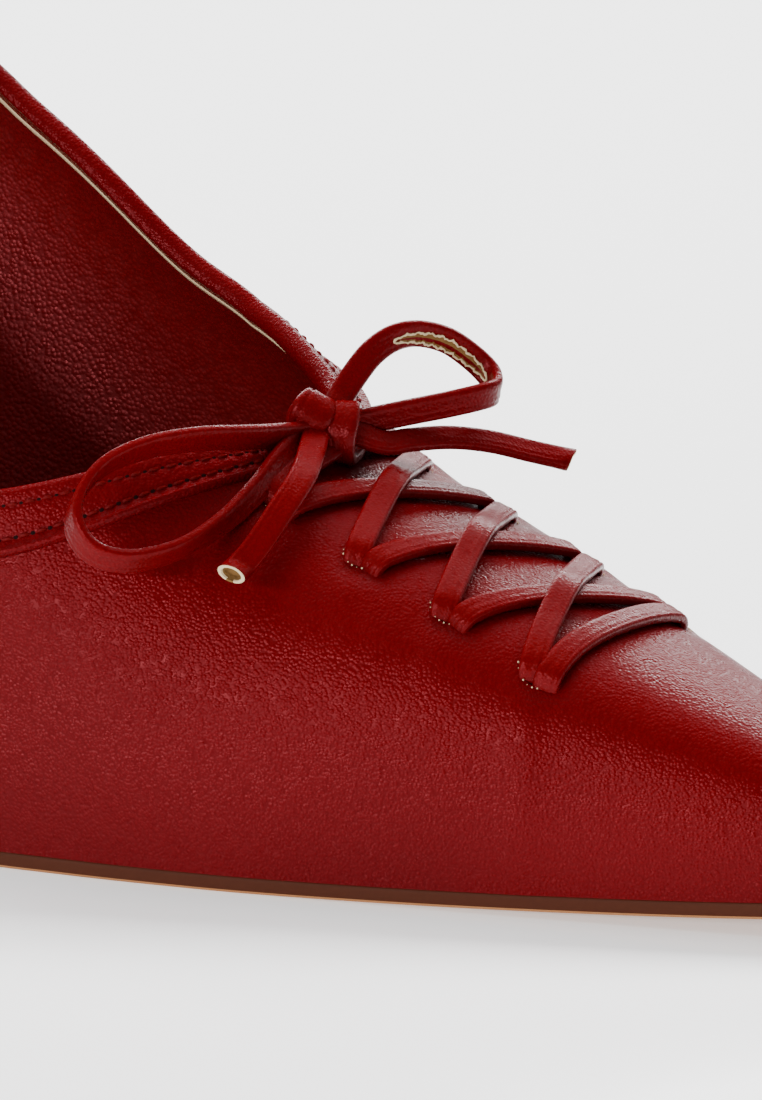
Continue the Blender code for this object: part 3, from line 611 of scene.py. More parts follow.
def grained_leather(name, body, deep, grain, roughness, depth, gloss):
    """Grained leather: pebbles parted by fine creases, a slow change of tone, and a soft finish.

    The pebbles are cells a grain wide, their creases darker and duller than their tops; the darker colour in
    the creases is painted shade.
    """
    made, tree, shader = new_material(name)
    place = node(tree, "ShaderNodeTexCoord").outputs["Object"]
    cells = node(
        tree, "ShaderNodeTexVoronoi", {"Vector": place, "Scale": 1 / grain, "Smoothness": 0.12},
        feature="SMOOTH_F1",
    )
    crease = node(
        tree, "ShaderNodeMapRange", {"Value": cells.outputs["Distance"], "From Min": 0.15, "From Max": 0.75}
    )
    pores = node(tree, "ShaderNodeTexNoise", {"Vector": place, "Scale": 0.3 / grain, "Detail": 2.0})
    tone = node(tree, "ShaderNodeTexNoise", {"Vector": place, "Scale": 26.0, "Detail": 3.0})
    height = node(
        tree, "ShaderNodeMath", {0: pores.outputs["Fac"], 1: -0.4, 2: crease.outputs["Result"]},
        operation="MULTIPLY_ADD",
    )
    shade = node(
        tree, "ShaderNodeMapRange",
        {"Value": tone.outputs["Fac"], "From Min": 0.3, "From Max": 0.7, "To Min": 0.06, "To Max": 0.30},
    )
    # Painted shade: the colour darkens towards the deep one in each crease of the grain, on top of the slow
    # random tone
    crease_shade_and_tone = node(
        tree, "ShaderNodeMath", {0: crease.outputs["Result"], 1: 0.22, 2: shade.outputs["Result"]},
        operation="MULTIPLY_ADD",
    )
    mix = node(
        tree, "ShaderNodeMix", {0: crease_shade_and_tone.outputs["Value"], 6: (*body, 1), 7: (*deep, 1)}, data_type="RGBA"
    )
    tree.links.new(mix.outputs[2], shader.inputs["Base Color"])
    rough = node(
        tree, "ShaderNodeMapRange",
        {"Value": pores.outputs["Fac"], "From Min": 0.3, "From Max": 0.7, "To Min": roughness - 0.06,
         "To Max": roughness + 0.08},
    )
    tree.links.new(rough.outputs["Result"], shader.inputs["Roughness"])
    bump = node(
        tree, "ShaderNodeBump",
        {"Height": height.outputs["Value"], "Strength": 0.55, "Distance": depth}, invert=True,
    )
    tree.links.new(bump.outputs["Normal"], shader.inputs["Normal"])
    # Dyed wax over dyed skin: head-on reflections turn red, glancing ones stay pale
    shader.inputs["Specular IOR Level"].default_value = gloss
    shader.inputs["Specular Tint"].default_value = (1, 0.2, 0.22, 1)
    return made


def plain_finish(name, colour, roughness, grain=0.0004, depth=0.00008, spread=0.25):
    """A plain surface with a fine noise in its tone and height: suede, cut edge, thread or rubber."""
    made, tree, shader = new_material(name)
    place = node(tree, "ShaderNodeTexCoord").outputs["Object"]
    noise = node(tree, "ShaderNodeTexNoise", {"Vector": place, "Scale": 1 / grain, "Detail": 5.0})
    dark = [v * (1 - spread) for v in colour]
    mix = node(
        tree, "ShaderNodeMix", {0: noise.outputs["Fac"], 6: (*colour, 1), 7: (*dark, 1)}, data_type="RGBA"
    )
    tree.links.new(mix.outputs[2], shader.inputs["Base Color"])
    bump = node(
        tree, "ShaderNodeBump", {"Height": noise.outputs["Fac"], "Strength": 0.5, "Distance": depth}
    )
    tree.links.new(bump.outputs["Normal"], shader.inputs["Normal"])
    shader.inputs["Roughness"].default_value = roughness
    shader.inputs["Specular IOR Level"].default_value = 0.08
    return made


def material(name):
    """The shoe's material of this name, made at its first use."""
    if name in bpy.data.materials:
        return bpy.data.materials[name]
    c = bpy.context.scene.shoe_colours
    grain = bpy.context.scene.shoe_sizes.grain
    grained = {
        # Semi-aniline calfskin, milled to a fine pebble and lightly waxed: soft gloss, pale at grazing
        "red calfskin": (c.leather, c.leather_crease_shade, grain, 0.30, 0.00010, 0.21),
        # The same skin skived and folded into strips, its grain pulled finer by the fold
        "red lace leather": (c.lace, c.leather_crease_shade, 0.95 * grain, 0.30, 0.00006, 0.22),
        # Pigmented pigskin lining: coarser pebble, more gloss on each
        "dark red lining leather": (c.lining, c.lining_crease_shade, 1.4 * grain, 0.42, 0.00012, 1.0),
    }
    plain = {
        "cut leather edge": (c.edge, 0.75),
        "tan suede": (c.suede, 0.95, 0.00035, 0.00025, 0.45),
        # Vegetable-tanned sole leather, stained and burnished along its edge
        "burnished sole edge": (c.sole, 0.6, 0.0006, 0.00003, 0.2),
        # Bare tan underside; along the lower corner of the edge the same colour is a painted highlight line
        "bare sole leather and painted edge highlight": (c.sole_underside_and_edge_highlight, 0.6, 0.0008, 0.00003, 0.25),
        "red thread": (c.thread, 0.55, 0.00012, 0.00004, 0.3),
        "needle hole": (c.hole, 0.8),
        "heel tip rubber": (c.rubber, 0.6, 0.0005, 0.00005, 0.3),
    }
    return grained_leather(name, *grained[name]) if name in grained else plain_finish(name, *plain[name])


def vamp_relief(points):
    """Height over the last: soft dips where the lace pulls the slits in and swells between them."""
    height = np.zeros(points.shape[:2])
    for level in range(LACE_LEVELS):
        for x, y in slit_places(level):
            place = vamp_point(np.array([x]), np.array([y]))[0]
            away = points - place
            distance = np.linalg.norm(away, axis=-1)
            height -= SLIT_DIP * bump_at(distance, 0.0030)
            outer = away[..., 1] * np.sign(y)
            height += SLIT_SWELL * bump_at(np.hypot(away[..., 0], outer - 0.0032), 0.0022)
    # One slanted trough on the lateral side, where the ball bends
    from_ball = points - np.array(BALL_CREASE)
    slanted = bump_at(from_ball[..., 0] + 0.4 * from_ball[..., 2], 0.007)
    return height - 0.0005 * slanted * (points[..., 1] < 0) * bump_at(points[..., 2] - 0.024, 0.016)


def slit_arcs(radius, angles):
    """Points round each slit in turn, and the ways out of the leather there.

    Each arc lies round the rounded end of the strap on top: its middle is set back from the slit
    and to the heel. An angle runs from the toe over the outer side to the heel.
    """
    places, ways = [], []
    for level in range(LACE_LEVELS):
        for x, y in slit_places(level):
            away = math.copysign(1, y)
            a = x + away * (LACE_BESIDE - radius * np.cos(angles))
            b = y + away * (radius * np.sin(angles) - SLIT_SET_BACK)
            places.append(vamp_point(a, b))
            ways.append(vamp_normal(a, b))
    return np.stack(places), np.stack(ways)


def slit_blocks():
    """Points and faces of the eight curved blocks that cut the slits, each a wall round an arc."""
    angles = np.radians(np.linspace(48, 188, 15))
    width = SLIT_WIDTH / 2 * np.sin(np.linspace(0.12, 0.96, 15) * math.pi)
    inner, ways = slit_arcs(SLIT_RADIUS - width, angles)
    outer, _ = slit_arcs(SLIT_RADIUS + width, angles)
    deep = 0.004 * ways
    blocks = np.stack([inner - deep, outer - deep, outer + deep, inner + deep], 2)
    return joined([tube(block) for block in blocks])


def cut_with(piece, points, faces):
    """Cuts closed blocks out of a piece and keeps the cut in its mesh."""
    cutter = bpy.data.objects.new("slits", outward_mesh("slits", points, faces))
    bpy.context.scene.collection.objects.link(cutter)
    cut = piece.modifiers.new("slits", "BOOLEAN")
    cut.object = cutter
    bpy.context.view_layer.update()
    evaluated = piece.evaluated_get(bpy.context.evaluated_depsgraph_get())
    cut_mesh = bpy.data.meshes.new_from_object(evaluated)
    piece.modifiers.clear()
    old = piece.data
    piece.data = cut_mesh
    cut_mesh.name = piece.name
    bpy.data.meshes.remove(old)
    bpy.data.objects.remove(cutter)


def band_widths(start):
    """Width of the band in each column: full at the sides, drawn in evenly towards the throat."""
    s = bpy.context.scene.shoe_sizes
    near_throat = np.clip((start / LENGTH - 0.6) / 0.4, 0, 1)
    return s.band_width + (s.band_at_throat - s.band_width) * near_throat


def stitch_row(name, line, outward):
    """One row of sewing along a closed line: a thread between each two holes, and dark rings of painted
    shade at the holes.

    Each thread is a small spindle: a circle whose radius follows a low power of a sine.
    """
    s = bpy.context.scene.shoe_sizes
    closed = np.concatenate([line, line[:1]])
    ways = np.concatenate([outward, outward[:1]])
    run = distances(closed)
    count = max(8, round(run[-1] / s.stitch_pitch))

    def at(place):
        place = np.mod(place, run[-1])
        points = np.stack([np.interp(place, run, closed[:, k]) for k in range(3)], -1)
        return points, unit(np.stack([np.interp(place, run, ways[:, k]) for k in range(3)], -1))

    pitch = run[-1] / count
    holes = np.arange(count) * pitch
    first, first_out = at(holes + 0.16 * pitch)
    last, last_out = at(holes + 0.84 * pitch)
    way = np.linspace(0, 1, 7)
    along = unit(last - first)
    out = unit(first_out + last_out)
    side = np.cross(along, out)
    radius = s.thread / 2 * np.maximum(np.sin(math.pi * way), 0) ** 0.35 + 0.02 * s.thread
    centre = first[:, None] + (last - first)[:, None] * way[:, None]
    centre = centre + out[:, None] * (0.35 * s.thread * np.sin(math.pi * way)[:, None])
    threads = centre[:, :, None] + circles(side, out, 6)[:, None] * radius[None, :, None, None]
    add_piece(name, threads, spindles(threads), ["red thread"])
    # The holes are dark rings laid on the leather, not cut through it: painted shade where each needle hole
    # lies
    place, hole_out = at(holes)
    along = unit(at(holes + 0.1 * pitch)[0] - place)
    side = np.cross(along, hole_out)
    circle = circles(1.2 * along, side, 6)
    rings = np.stack([
        (place + hole_out * (0.00007 * rise))[:, None] + circle * (HOLE_RADIUS * size)
        for size, rise in ((0.05, 0.9), (0.75, 0.6), (1.0, 0.1), (0.7, -0.5))
    ], axis=1)
    add_piece(f"{name}_holes", rings, spindles(rings), ["needle hole"])


class SHOE_OT_upper(bpy.types.Operator):
    """Vamp and quarters, with the slits cut for the lace"""

    bl_idname = "shoe.upper"
    bl_label = "Upper"

    def execute(self, context):
        wall = context.scene.shoe_sizes.wall
        outer, _ = upper_skin(420, np.linspace(0, 1, 110))
        outward = skin_normals(outer)
        skin = outer + outward * vamp_relief(outer)[..., None]
        inside = outer[::-9] - 0.6 * wall * outward[::-9]
        inside[-1, :, 2] = np.maximum(inside[-1, :, 2], outer[0, :, 2])
        rings = np.concatenate([skin, inside])
        faces = quads(len(rings), rings.shape[1], wrap_rows=True)
        piece = add_piece("upper_leather", rings, faces, ["red calfskin"], replaces=["upper"])
        cut_with(piece, *slit_blocks())
        self.prick_marks()
        return {"FINISHED"}

    def prick_marks(self):
        """Pale prick marks outside each slit: small beads, each a ball of five rings."""
        places, ways = slit_arcs(SLIT_RADIUS + 0.00042, np.radians(np.linspace(62, 150, 7)))
        places, ways = places.reshape(-1, 3), ways.reshape(-1, 3)
        side = unit(np.cross(ways, [0.0, 0, 1.0]))
        other = np.cross(ways, side)
        circle = circles(side, other, 6)
        size = 0.00009 * (1 + 0.4 * np.sin(np.arange(len(places)) * 2.4))[:, None, None]
        rings = [
            places[:, None] + (circle * math.cos(a) + ways[:, None] * math.sin(a)) * size
            for a in (-1.5, -0.7, 0, 0.7, 1.5)
        ]
        beads = np.stack(rings, 1)
        add_piece("prick_marks", beads, spindles(beads), ["cut leather edge"])


class SHOE_OT_lining(bpy.types.Operator):
    """Lining of the whole inside, with its row of sewing under the topline"""

    bl_idname = "shoe.lining"
    bl_label = "Lining"

    def execute(self, context):
        wall = context.scene.shoe_sizes.wall
        outer, _ = upper_skin(320, np.linspace(0, 0.995, 70))
        outward = skin_normals(outer)
        inner = outer - wall * outward
        back = outer[::-5] - 0.62 * wall * outward[::-5]
        rings = np.concatenate([inner, back])
        faces = quads(len(rings), rings.shape[1], wrap_rows=True)
        add_piece("lining", rings, faces, ["dark red lining leather"])
        dense, _ = upper_skin(600, np.linspace(0.6, 1, 60))
        ways = skin_normals(dense)
        line, out = down_the_skin(dense, ways, np.full((1, 600), LINING_ROW))
        stitch_row("lining_stitches", line[0] - (wall + 0.00004) * out[0], -out[0])
        return {"FINISHED"}


class SHOE_OT_band(bpy.types.Operator):
    """Folded band round the opening, with its rolled lower edge and two rows of sewing"""

    bl_idname = "shoe.band"
    bl_label = "Collar band"

    def execute(self, context):
        s = context.scene.shoe_sizes
        columns = 720
        dense, start = upper_skin(columns, np.linspace(0, 1, 120))
        outward = skin_normals(dense)
        width = band_widths(start)
        # Outside: from the fold down to the rolled edge and in under it
        down = np.concatenate([np.linspace(0, 0.80, 22), np.linspace(0.82, 1.0, 22)])[:, None] * width
        roll = BAND_ROLL * bump_at(down - (width - BAND_BODY), BAND_ROLL)
        upper_row = 0.00010 * bump_at(down - UPPER_ROW, 0.00035)
        lower_row = 0.00016 * bump_at(down - (width - LOWER_ROW_FROM_EDGE), 0.00040)
        ribs = 0.00003 * np.sin(turns(columns) * 900) * bump_at(down - (width - 0.0006), 0.0005)
        height = (BAND_BODY + roll - upper_row - lower_row + ribs) * rounding(width - down, 0.00040)
        points, ways = down_the_skin(dense, outward, down)
        outside = points + ways * height[..., None]
        # The fold over the topline: half a circle from the outside to the inside
        turn = np.linspace(0, math.pi, 13)[1:-1][:, None, None]
        lip, lip_out = dense[-1], outward[-1]
        up = unit(dense[-1] - dense[-3])
        centre = lip - lip_out * s.wall / 2
        radius = s.wall / 2 + BAND_BODY
        fold = centre + radius * (np.cos(turn) * lip_out + 0.75 * np.sin(turn) * up)
        # Inside: a short tongue over the lining, then back under it and under the outside
        loops, even = [outside[::-1], fold], np.ones(columns)
        for below, reach, depth in (
            (np.linspace(0, TONGUE, 9), even, s.wall + 0.00048),
            (np.linspace(TONGUE, 0, 4), even, s.wall - 0.0001),
            (np.linspace(0, 0.99, 6), width, 0.0002),
        ):
            points, ways = down_the_skin(dense, outward, below[:, None] * reach)
            loops.append(points - ways * depth)
        rings = np.concatenate(loops)
        faces = quads(len(rings), columns, wrap_rows=True)
        add_piece("band", rings, faces, ["red calfskin"], replaces=["collar_band"])
        # The undyed cut edge of the tongue, a thin strip inside the shoe
        strip = []
        for distance, rise in (
            (0.0013, 0.0004), (0.0015, 0.00062), (0.0021, 0.0006),
            (0.0023, 0.0004), (0.0023, 0.0001), (0.0013, 0.0001),
        ):
            points, ways = down_the_skin(dense, outward, np.full((1, columns), distance))
            strip.append(points[0] - ways[0] * (s.wall + rise))
        faces = quads(len(strip), columns, wrap_rows=True)
        add_piece("band_cut_edge", np.stack(strip), faces, ["cut leather edge"])
        rows = {"upper": UPPER_ROW + 0 * width, "lower": width - LOWER_ROW_FROM_EDGE}
        for name, place in rows.items():
            points, ways = down_the_skin(dense, outward, place[None])
            stitch_row(f"band_stitches_{name}", points[0] + ways[0] * (BAND_BODY - 0.00012), ways[0])
        return {"FINISHED"}


def lace_route(start, end, lift, shift):
    """A strap's line from slit to slit: over the vamp, lifted at its middle, diving in at each end."""
    s = bpy.context.scene.shoe_sizes
    way = np.linspace(0, 1, 64)
    x = start[0] + shift[0] + (end[0] + shift[1] - start[0] - shift[0]) * way
    y = start[1] + (end[1] - start[1]) * way
    outward = vamp_normal(x, y)
    skin = vamp_point(x, y)
    run = distances(skin)
    from_end = np.minimum(run, run[-1] - run)
    dive = 1 - rounding(from_end, 0.0020)
    rise = 0.00008 + s.lace_thickness / 2 + lift * bump_at(way - 0.5, LACE_HUMP) - 0.0018 * dive
    return skin + outward * rise[:, None], outward


class SHOE_OT_lacing(bpy.types.Operator):
    """The crossing straps over the vamp, each through its two slits, and the ties under the knot"""

    bl_idname = "shoe.lacing"
    bl_label = "Lacing"

    def execute(self, context):
        s = context.scene.shoe_sizes
        last = LACE_LEVELS - 1
        lateral = [slit_places(level)[0] for level in range(LACE_LEVELS)]
        medial = [slit_places(level)[1] for level in range(LACE_LEVELS)]
        beside = LACE_BESIDE
        straps = [(lateral[last], medial[last], 0.0, (beside, beside))]
        for level in range(last):
            straps.append((lateral[level], medial[level + 1], 0.0, (beside, -beside)))
            straps.append((lateral[level + 1], medial[level], 0.9 * s.lace_thickness, (-beside, beside)))
        straps.append((lateral[0], medial[0], 0.0012, (-0.0012, -0.0012)))
        parts = []
        for start, end, lift, shift in straps:
            line, outward = lace_route(start, end, lift, shift)
            across = np.cross(outward, unit(np.gradient(line, axis=0)))
            parts.append(tube(strap(line, across, s.lace_width, s.lace_thickness)))
        add_lace("lace_straps", *joined(parts), ["lace_crossings"])
        return {"FINISHED"}


def add_lace(name, points, faces, replaces, finish_of_face=None):
    """A piece of lace leather with its cut edge and suede as second and third material."""
    finishes = ("red lace leather", "cut leather edge", "tan suede")
    return add_piece(name, points, faces, finishes, finish_of_face, replaces)


def cut_end(ring, inward):
    """Rings and the middle of a cut end: the pale rim drawn in over the edge, then the suede within."""
    middle = ring.mean(axis=0)
    steps = ((0.05, -0.00007), (0.24, -0.00007), (0.30, 0.0002), (0.50, 0.0008))
    rings = [ring + (middle - ring) * share + inward * depth for share, depth in steps]
    return np.stack(rings), middle + inward * 0.0009


def add_cord(name, rows, replaces, slants):
    """One free lace of the bow: a strap along its rows, each end cut at its slant and laid open.

    A slant is how far the cut runs on along the strap from one edge of it to the other.
    """
    s = bpy.context.scene.shoe_sizes
    smooth = smooth_line(np.array(rows) * ([MM] * 3 + [1] * 3), 320)
    line, across = knot_middle() + smooth[:, :3], smooth[:, 3:]
    length = float(distances(line)[-1])
    run = np.linspace(0, length, len(line))
    opened = bump_at(run, 0.0016) + bump_at(run[-1] - run, 0.0016)
    sections = strap(line, across, s.lace_width, s.lace_thickness, opened)
    around = sections.shape[1]
    share = strap_profile()[0]
    along = unit(np.gradient(line, axis=0))
    for slant, near in zip(slants, (bump_at(run, 0.003), bump_at(run[-1] - run, 0.003))):
        sections = sections + along[:, None] * (near[:, None] * share * slant)[..., None]
    rings, faces, finish, hubs = [sections], [quads(len(line), around)], [0] * (len(line) - 1) * around, []
    count = len(line) * around
    hub_at = count + 8 * around
    gap = (np.arange(around) / around > 0.68) & (np.arange(around) / around < 0.80)
    for base, inward in ((0, along[2]), (count - around, -along[-3])):
        ring = sections.reshape(-1, 3)[base : base + around]
        more, hub = cut_end(ring, inward)
        starts = [base, *(count + around * i for i in range(4))]
        for i in range(4):
            a = starts[i] + np.arange(around)
            b = starts[i + 1] + np.arange(around)
            faces.append(np.stack([a, np.roll(a, -1), np.roll(b, -1), b], 1))
            finish += list(np.where(gap, 2, 1) if i < 3 else np.full(around, 2))
        rings.append(more)
        hubs.append(hub)
        count += 4 * around
    faces = [tuple(face) for face in np.concatenate(faces)]
    for i in range(2):
        a = hub_at - (5 - 4 * i) * around + np.arange(around)
        faces += [(j, k, hub_at + i) for j, k in zip(a, np.roll(a, -1))]
        finish += [2] * around
    points = np.concatenate([*(r.reshape(-1, 3) for r in rings), np.stack(hubs)])
    piece = add_lace(name, points, faces, replaces, finish)
    return line, across


class SHOE_OT_bow(bpy.types.Operator):
    """The bow: two free laces, each a loop and an end"""

    bl_idname = "shoe.bow"
    bl_label = "Bow"

    def execute(self, context):
        add_cord("lace_left_loop", LOOP_LEFT + END_RIGHT, ["bow_loop_left", "bow_end_right"], (0, 0.0012))
        line, across = add_cord(
            "lace_right_loop", LOOP_RIGHT + END_LEFT, ["bow_loop_right", "bow_end_left"], (0, -0.0004)
        )
        loop = knot_middle() + np.array(LOOP_RIGHT)[:, :3] * MM
        first, last = (np.argmin(np.linalg.norm(line - loop[i], axis=1)) for i in SEAM_ROWS)
        self.seam(line[first:last], across[first:last])
        return {"FINISHED"}

    def seam(self, line, across):
        """The open seam inside the right loop: a suede strip between two ragged pale edges."""
        s = bpy.context.scene.shoe_sizes
        side, out = strap_frame(line, across)
        inside = line.mean(axis=0) - line - np.array([0, 0, 0.004])
        out = out * np.sign((inside * out).sum())
        way = np.linspace(0, 1, len(line))
        open_by = np.sin(math.pi * way) ** 0.5
        ragged = 1 + 0.16 * np.sin(way * 61) + 0.12 * np.sin(way * 143 + 1)
        half = 0.22 * s.lace_width * open_by * ragged
        base = line + out * (0.43 * s.lace_thickness) - side * 0.10 * s.lace_width
        reach = np.array([-1, -1, 0, 1, 1]) * half[:, None]
        rise = np.array([-0.0003, 0.00004, -0.00002, 0.00004, -0.0003]) * np.ones((len(line), 1))
        lift = out[:, None] * rise[..., None]
        points, faces = tube(base[:, None] + side[:, None] * reach[..., None] + lift)
        add_lace("loop_seam_suede", points, faces, [], [2] * len(faces))
        circle = circles(side, out, 8)
        edges = []
        for sign in (-1, 1):
            edge = base + side * (sign * half)[:, None] + out * 0.00006
            size = 0.00013 * (1 + 0.25 * np.sin(way * 47 + sign) + 0.2 * np.sin(way * 109))[:, None, None]
            edges.append(tube(edge[:, None] + circle * size))
        points, faces = joined(edges)
        add_lace("loop_seam_edges", points, faces, [], [1] * len(faces))


class SHOE_OT_knot(bpy.types.Operator):
    """The knot: turns of the lace drawn tight over each other"""

    bl_idname = "shoe.knot"
    bl_label = "Knot"

    def execute(self, context):
        across_profile, out_profile = strap_profile()
        around = len(across_profile)
        angle = turns(96)
        points, faces = [], []
        for middle, axis, tall, deep, width, thickness in KNOT_TURNS:
            axis = unit(np.array(axis))
            first = unit(np.cross(axis, [0.35, -0.9, 0.2]))
            second = np.cross(axis, first)
            pull = 1 + 0.07 * np.sin(3 * angle + width)
            line = first * (np.cos(angle) * tall * pull)[:, None] + second * (np.sin(angle) * deep)[:, None]
            outward = unit(line)
            narrow = 1 - 0.22 * np.cos(angle + 0.4) ** 2
            ring = axis * across_profile[None, :, None] * width * narrow[:, None, None]
            ring = ring + outward[:, None] * out_profile[None, :, None] * thickness
            place = knot_middle() + (np.array(middle) + line[:, None] + ring) * MM
            faces.append(quads(96, around, wrap_rows=True, first=96 * around * len(points)))
            points.append(place.reshape(-1, 3))
        add_lace("knot", np.concatenate(points), np.concatenate(faces), ["bow_knot"])
        return {"FINISHED"}


def plate(first, last, crowded, inset, bottom, top, profile):
    """A plate that follows the feather line: sections along it, each a loop of profile points.

    A profile point is a share of the half width, a distance in from it, a share of the way from
    bottom to top and a height over that.
    """
    way = np.linspace(0, 1, 240)
    eased = np.sin(way * math.pi / 2) if crowded == "front" else (1 - np.cos(way * math.pi)) / 2
    x = first + (last - first) * eased
    closing = rounding(LENGTH - inset - x, TOE_ROUND) * rounding(x - inset, SEAT_ROUND - inset)
    ridge = curve_through(LAST, 6, x)
    low, high = bottom(x), top(x)
    loops = []
    for side in (-1, 1):
        half = np.maximum((curve_through(LAST, 1 if side < 0 else 2, x) - inset) * closing, 0.0006)
        points = [
            np.stack([x - BACK_REACH, ridge + side * np.maximum(half * share - into, 0.0001 + 0.00005 * i),
                      low + (high - low) * rise + over], -1)
            for i, (share, into, rise, over) in enumerate(profile)
        ]
        loops += points if side < 0 else points[::-1]
    return np.stack(loops, axis=1)


class SHOE_OT_sole(bpy.types.Operator):
    """Leather sole with its burnished edge, and the sock inside the shoe"""

    bl_idname = "shoe.sole"
    bl_label = "Sole and insole"

    def execute(self, context):
        profile = [(share, 0.0006, 1, 0) for share in (0.04, 0.3, 0.6, 0.85)]
        profile += [(1, 0.0006, 1, 0), (1, 0.00018, 1, 0), (1, 0.00003, 0.92, 0), (1, 0, 0.75, 0)]
        profile += [(1, 0.00003, 0.5, 0), (1, 0, 0.3, 0), (1, 0.00004, 0.18, 0)]
        profile += [(1, 0.00012, 0.14, 0), (1, 0.00036, 0.0, 0), (1, 0.0008, 0, 0)]
        profile += [(share, 0.0008, 0, 0) for share in (0.95, 0.85, 0.6, 0.3, 0.04)]
        sections = plate(
            HEEL_BREAST + GAP, LENGTH - 2 * SOLE_INSET, "front", SOLE_INSET - 0.0003, sole_height,
            lambda x: feather_height(x) - 0.00002, profile,
        )
        points, faces = tube(sections)
        columns = sections.shape[1]
        half = len(profile)
        # The underside and a thin band up the lower corner of the edge: bare tan leather below, a painted
        # highlight line along the corner
        underside_and_highlight_faces = [10 <= f[0] % columns < 2 * half - 11 and len(f) == 4 for f in faces]
        add_piece(
            "sole", points, faces, ["burnished sole edge", "bare sole leather and painted edge highlight"],
            np.array(underside_and_highlight_faces, np.int32), replaces=["outsole"],
        )
        wall = context.scene.shoe_sizes.wall
        profile = [(share, 0.0004, 1, -0.00025 * share**6) for share in (0.04, 0.2, 0.4, 0.6, 0.8, 0.92)]
        profile += [(1, 0.0003, 1, -0.0003), (1, 0.00004, 0.85, -0.0003), (1, 0, 0.5, 0), (1, 0.0002, 0, 0)]
        profile += [(share, 0.0004, 0, 0) for share in (0.92, 0.6, 0.3, 0.04)]
        sections = plate(
            0.8 * wall, LENGTH - INSOLE_TOE, "both", 0.8 * wall, feather_height,
            lambda x: feather_height(x) + INSOLE, profile,
        )
        points, faces = tube(sections)
        add_piece(
            "sock", points, faces, ["dark red lining leather"],
            replaces=["insole"],
        )
        return {"FINISHED"}


class SHOE_OT_heel(bpy.types.Operator):
    """Slim heel with its leather cover, and the heel tip"""

    bl_idname = "shoe.heel"
    bl_label = "Heel and tip"

    def execute(self, context):
        length = HEEL_BREAST - HEEL_TOP_INSET
        back = length * (1 - np.cos(np.linspace(0, 1, 60) * math.pi / 2))
        closing = rounding(back, SEAT_ROUND - HEEL_TOP_INSET)
        lateral, medial = (
            (curve_through(LAST, column, back + HEEL_TOP_INSET) - HEEL_TOP_INSET) * closing
            for column in (1, 2)
        )
        breast = np.linspace(-1, 1, 41)[1:-1]
        curve = 0.0018 * (1 - breast**2)
        along = np.concatenate([back, length - curve, back[:0:-1]])
        breast_y = np.where(breast < 0, breast * lateral[-1], breast * medial[-1])
        y = np.concatenate([-lateral, breast_y, medial[:0:-1]])
        x = along + HEEL_TOP_INSET - BACK_REACH
        foot_x = (along / length - 0.5) * TIP_LENGTH
        foot_y = y / (lateral.max() + medial.max()) * TIP_WIDTH
        foot_z = TIP_THICKNESS + GAP
        rise = feather_height(x + BACK_REACH) - 0.0001 - foot_z
        up = np.linspace(0, 1, 90)[:, None]
        out = curve_through(HEEL_FLARE, 1, up)
        across = foot_y + (y - foot_y) * out
        sections = np.stack([foot_x + (x - foot_x) * out, across, foot_z + rise * up], -1)
        points, faces = tube(sections)
        add_piece(
            "heel_cover", points, faces, ["red calfskin"], replaces=["heel"]
        )
        turn = np.linspace(math.pi / 2, 3 * math.pi / 2, 33)
        edge = np.linspace(-1, 1, 9)
        tip_x = np.concatenate([TIP_LENGTH / 2 * np.cos(turn), np.full(9, TIP_LENGTH / 2)])
        tip_y = np.concatenate([TIP_WIDTH / 2 * np.sin(turn), (TIP_WIDTH / 2 - 0.0003) * edge])
        rings = [
            np.stack([tip_x * size, tip_y * size, np.full_like(tip_x, z)], -1)
            for size, z in (
                (0.90, 0), (0.97, 0.00015), (1, 0.0005), (1, TIP_THICKNESS - 0.0004), (0.98, TIP_THICKNESS)
            )
        ]
        points, faces = tube(np.stack(rings))
        add_piece(
            "tip", points, faces, ["heel tip rubber"], replaces=["heel_tip"]
        )
        return {"FINISHED"}


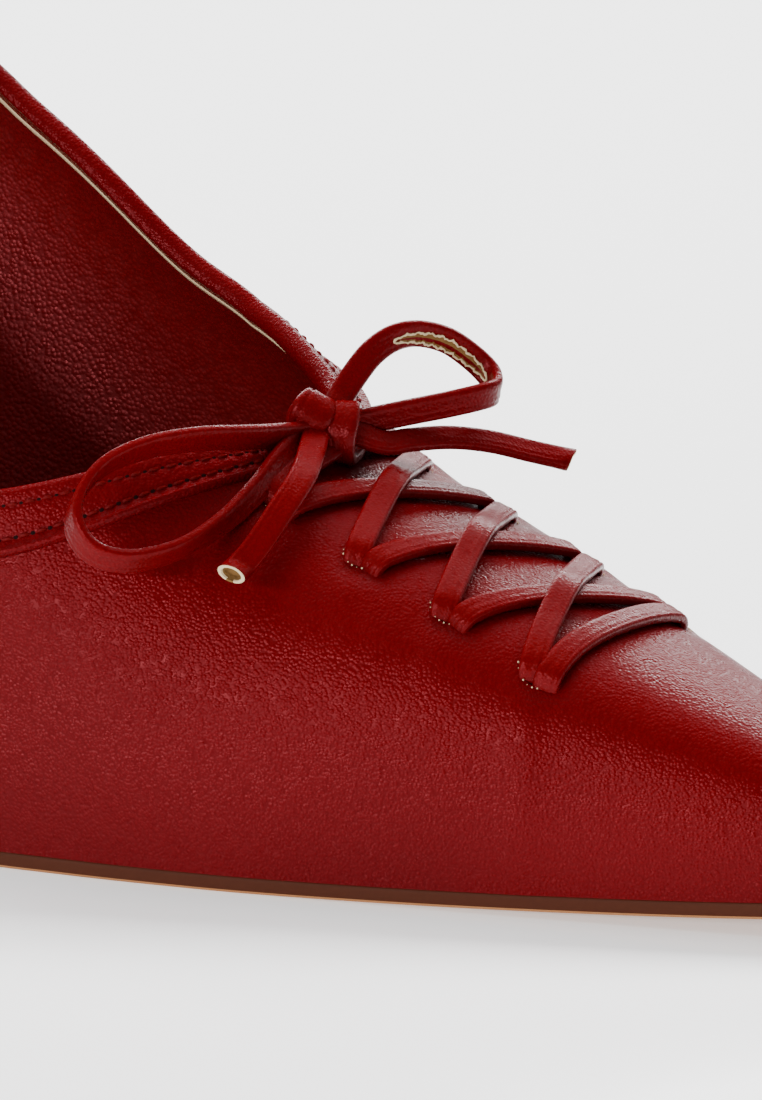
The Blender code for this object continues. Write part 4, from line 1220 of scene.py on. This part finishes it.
class SHOE_OT_stage(bpy.types.Operator):
    """Camera, pale floor and soft studio light"""

    bl_idname = "shoe.stage"
    bl_label = "Stage"

    def execute(self, context):
        camera = bpy.data.cameras.new("camera")
        camera.lens = CAMERA_LENS
        camera.sensor_width = CAMERA_SENSOR
        camera.clip_end = 20
        context.scene.camera = self.aimed(camera, CAMERA_AZIMUTH, CAMERA_ELEVATION, CAMERA_DISTANCE)

        mesh = bpy.data.meshes.new("floor")
        corners = [(6 * x, 6 * y, 0) for x, y in ((-1, -1), (1, -1), (1, 1), (-1, 1))]
        mesh.from_pydata(corners, [], [(0, 1, 2, 3)])
        floor = bpy.data.objects.new("floor", mesh)
        context.scene.collection.objects.link(floor)
        made, _, shader = new_material("white acrylic floor")
        shader.inputs["Base Color"].default_value = linear("#f7f7f7")
        shader.inputs["Roughness"].default_value = 0.18
        # Lit a little from below, as a light table is, so that it stays paper white
        shader.inputs["Emission Color"].default_value = (1, 1, 1, 1)
        shader.inputs["Emission Strength"].default_value = 0.5
        mesh.materials.append(made)

        world = bpy.data.worlds.new("studio")
        world.use_nodes = True
        shade = world.node_tree.nodes["Background"]
        shade.inputs["Color"].default_value = (1, 1, 1, 1)
        shade.inputs["Strength"].default_value = 0.4
        context.scene.world = world
        # Columns: name, bearing and height angle from the shoe, distance, width, height, power and
        # whether the leather shows its reflection, or only its light
        for name, bearing, height, distance, width, tall, power, reflected in (
            ("back softbox", 205, 52, 1.3, 1.6, 0.5, 66, False),
            ("top softbox", 250, 74, 1.2, 1.2, 0.8, 14, False),
            ("rim softbox", 214, 24, 1.3, 1.4, 0.22, 11, True),
            ("front softbox", -8, 15, 1.3, 0.8, 0.06, 14, True),
        ):
            light = bpy.data.lights.new(name, "AREA")
            light.shape = "RECTANGLE"
            light.size, light.size_y = width, tall
            light.energy = power
            self.aimed(light, bearing, height, distance).visible_glossy = reflected
        return {"FINISHED"}

    def aimed(self, data, bearing, height, distance):
        """A camera or lamp at a bearing, a height angle and a distance from the target, aimed at it."""
        a, e = math.radians(bearing), math.radians(height)
        way = np.array([math.sin(a) * math.cos(e), -math.cos(a) * math.cos(e), math.sin(e)])
        placed = bpy.data.objects.new(data.name, data)
        placed.location = np.array(CAMERA_TARGET) + way * distance
        placed.rotation_euler = (math.pi / 2 - e, 0, a)
        bpy.context.scene.collection.objects.link(placed)
        return placed


OPERATORS = (
    SHOE_OT_stage, SHOE_OT_bow, SHOE_OT_knot, SHOE_OT_lacing, SHOE_OT_upper, SHOE_OT_lining,
    SHOE_OT_band, SHOE_OT_sole, SHOE_OT_heel,
)


class VIEW3D_PT_shoe(bpy.types.Panel):
    """The shoe's pieces and sizes"""

    bl_label = "Lace up heel"
    bl_space_type = "VIEW_3D"
    bl_region_type = "UI"
    bl_category = "Shoe"

    def draw(self, context):
        for group in (context.scene.shoe_sizes, context.scene.shoe_colours):
            for name in group.__annotations__:
                self.layout.prop(group, name)
        for operator in OPERATORS:
            self.layout.operator(operator.bl_idname)


CLASSES = (ShoeSizes, ShoeColours, *OPERATORS, VIEW3D_PT_shoe)


def register():
    for one in CLASSES:
        bpy.utils.register_class(one)
    bpy.types.Scene.shoe_sizes = PointerProperty(type=ShoeSizes)
    bpy.types.Scene.shoe_colours = PointerProperty(type=ShoeColours)


def unregister():
    del bpy.types.Scene.shoe_colours
    del bpy.types.Scene.shoe_sizes
    for one in reversed(CLASSES):
        bpy.utils.unregister_class(one)


def main():
    register()
    for operator in OPERATORS:
        getattr(bpy.ops.shoe, operator.bl_idname.split(".")[1])()


if __name__ == "__main__":
    main()
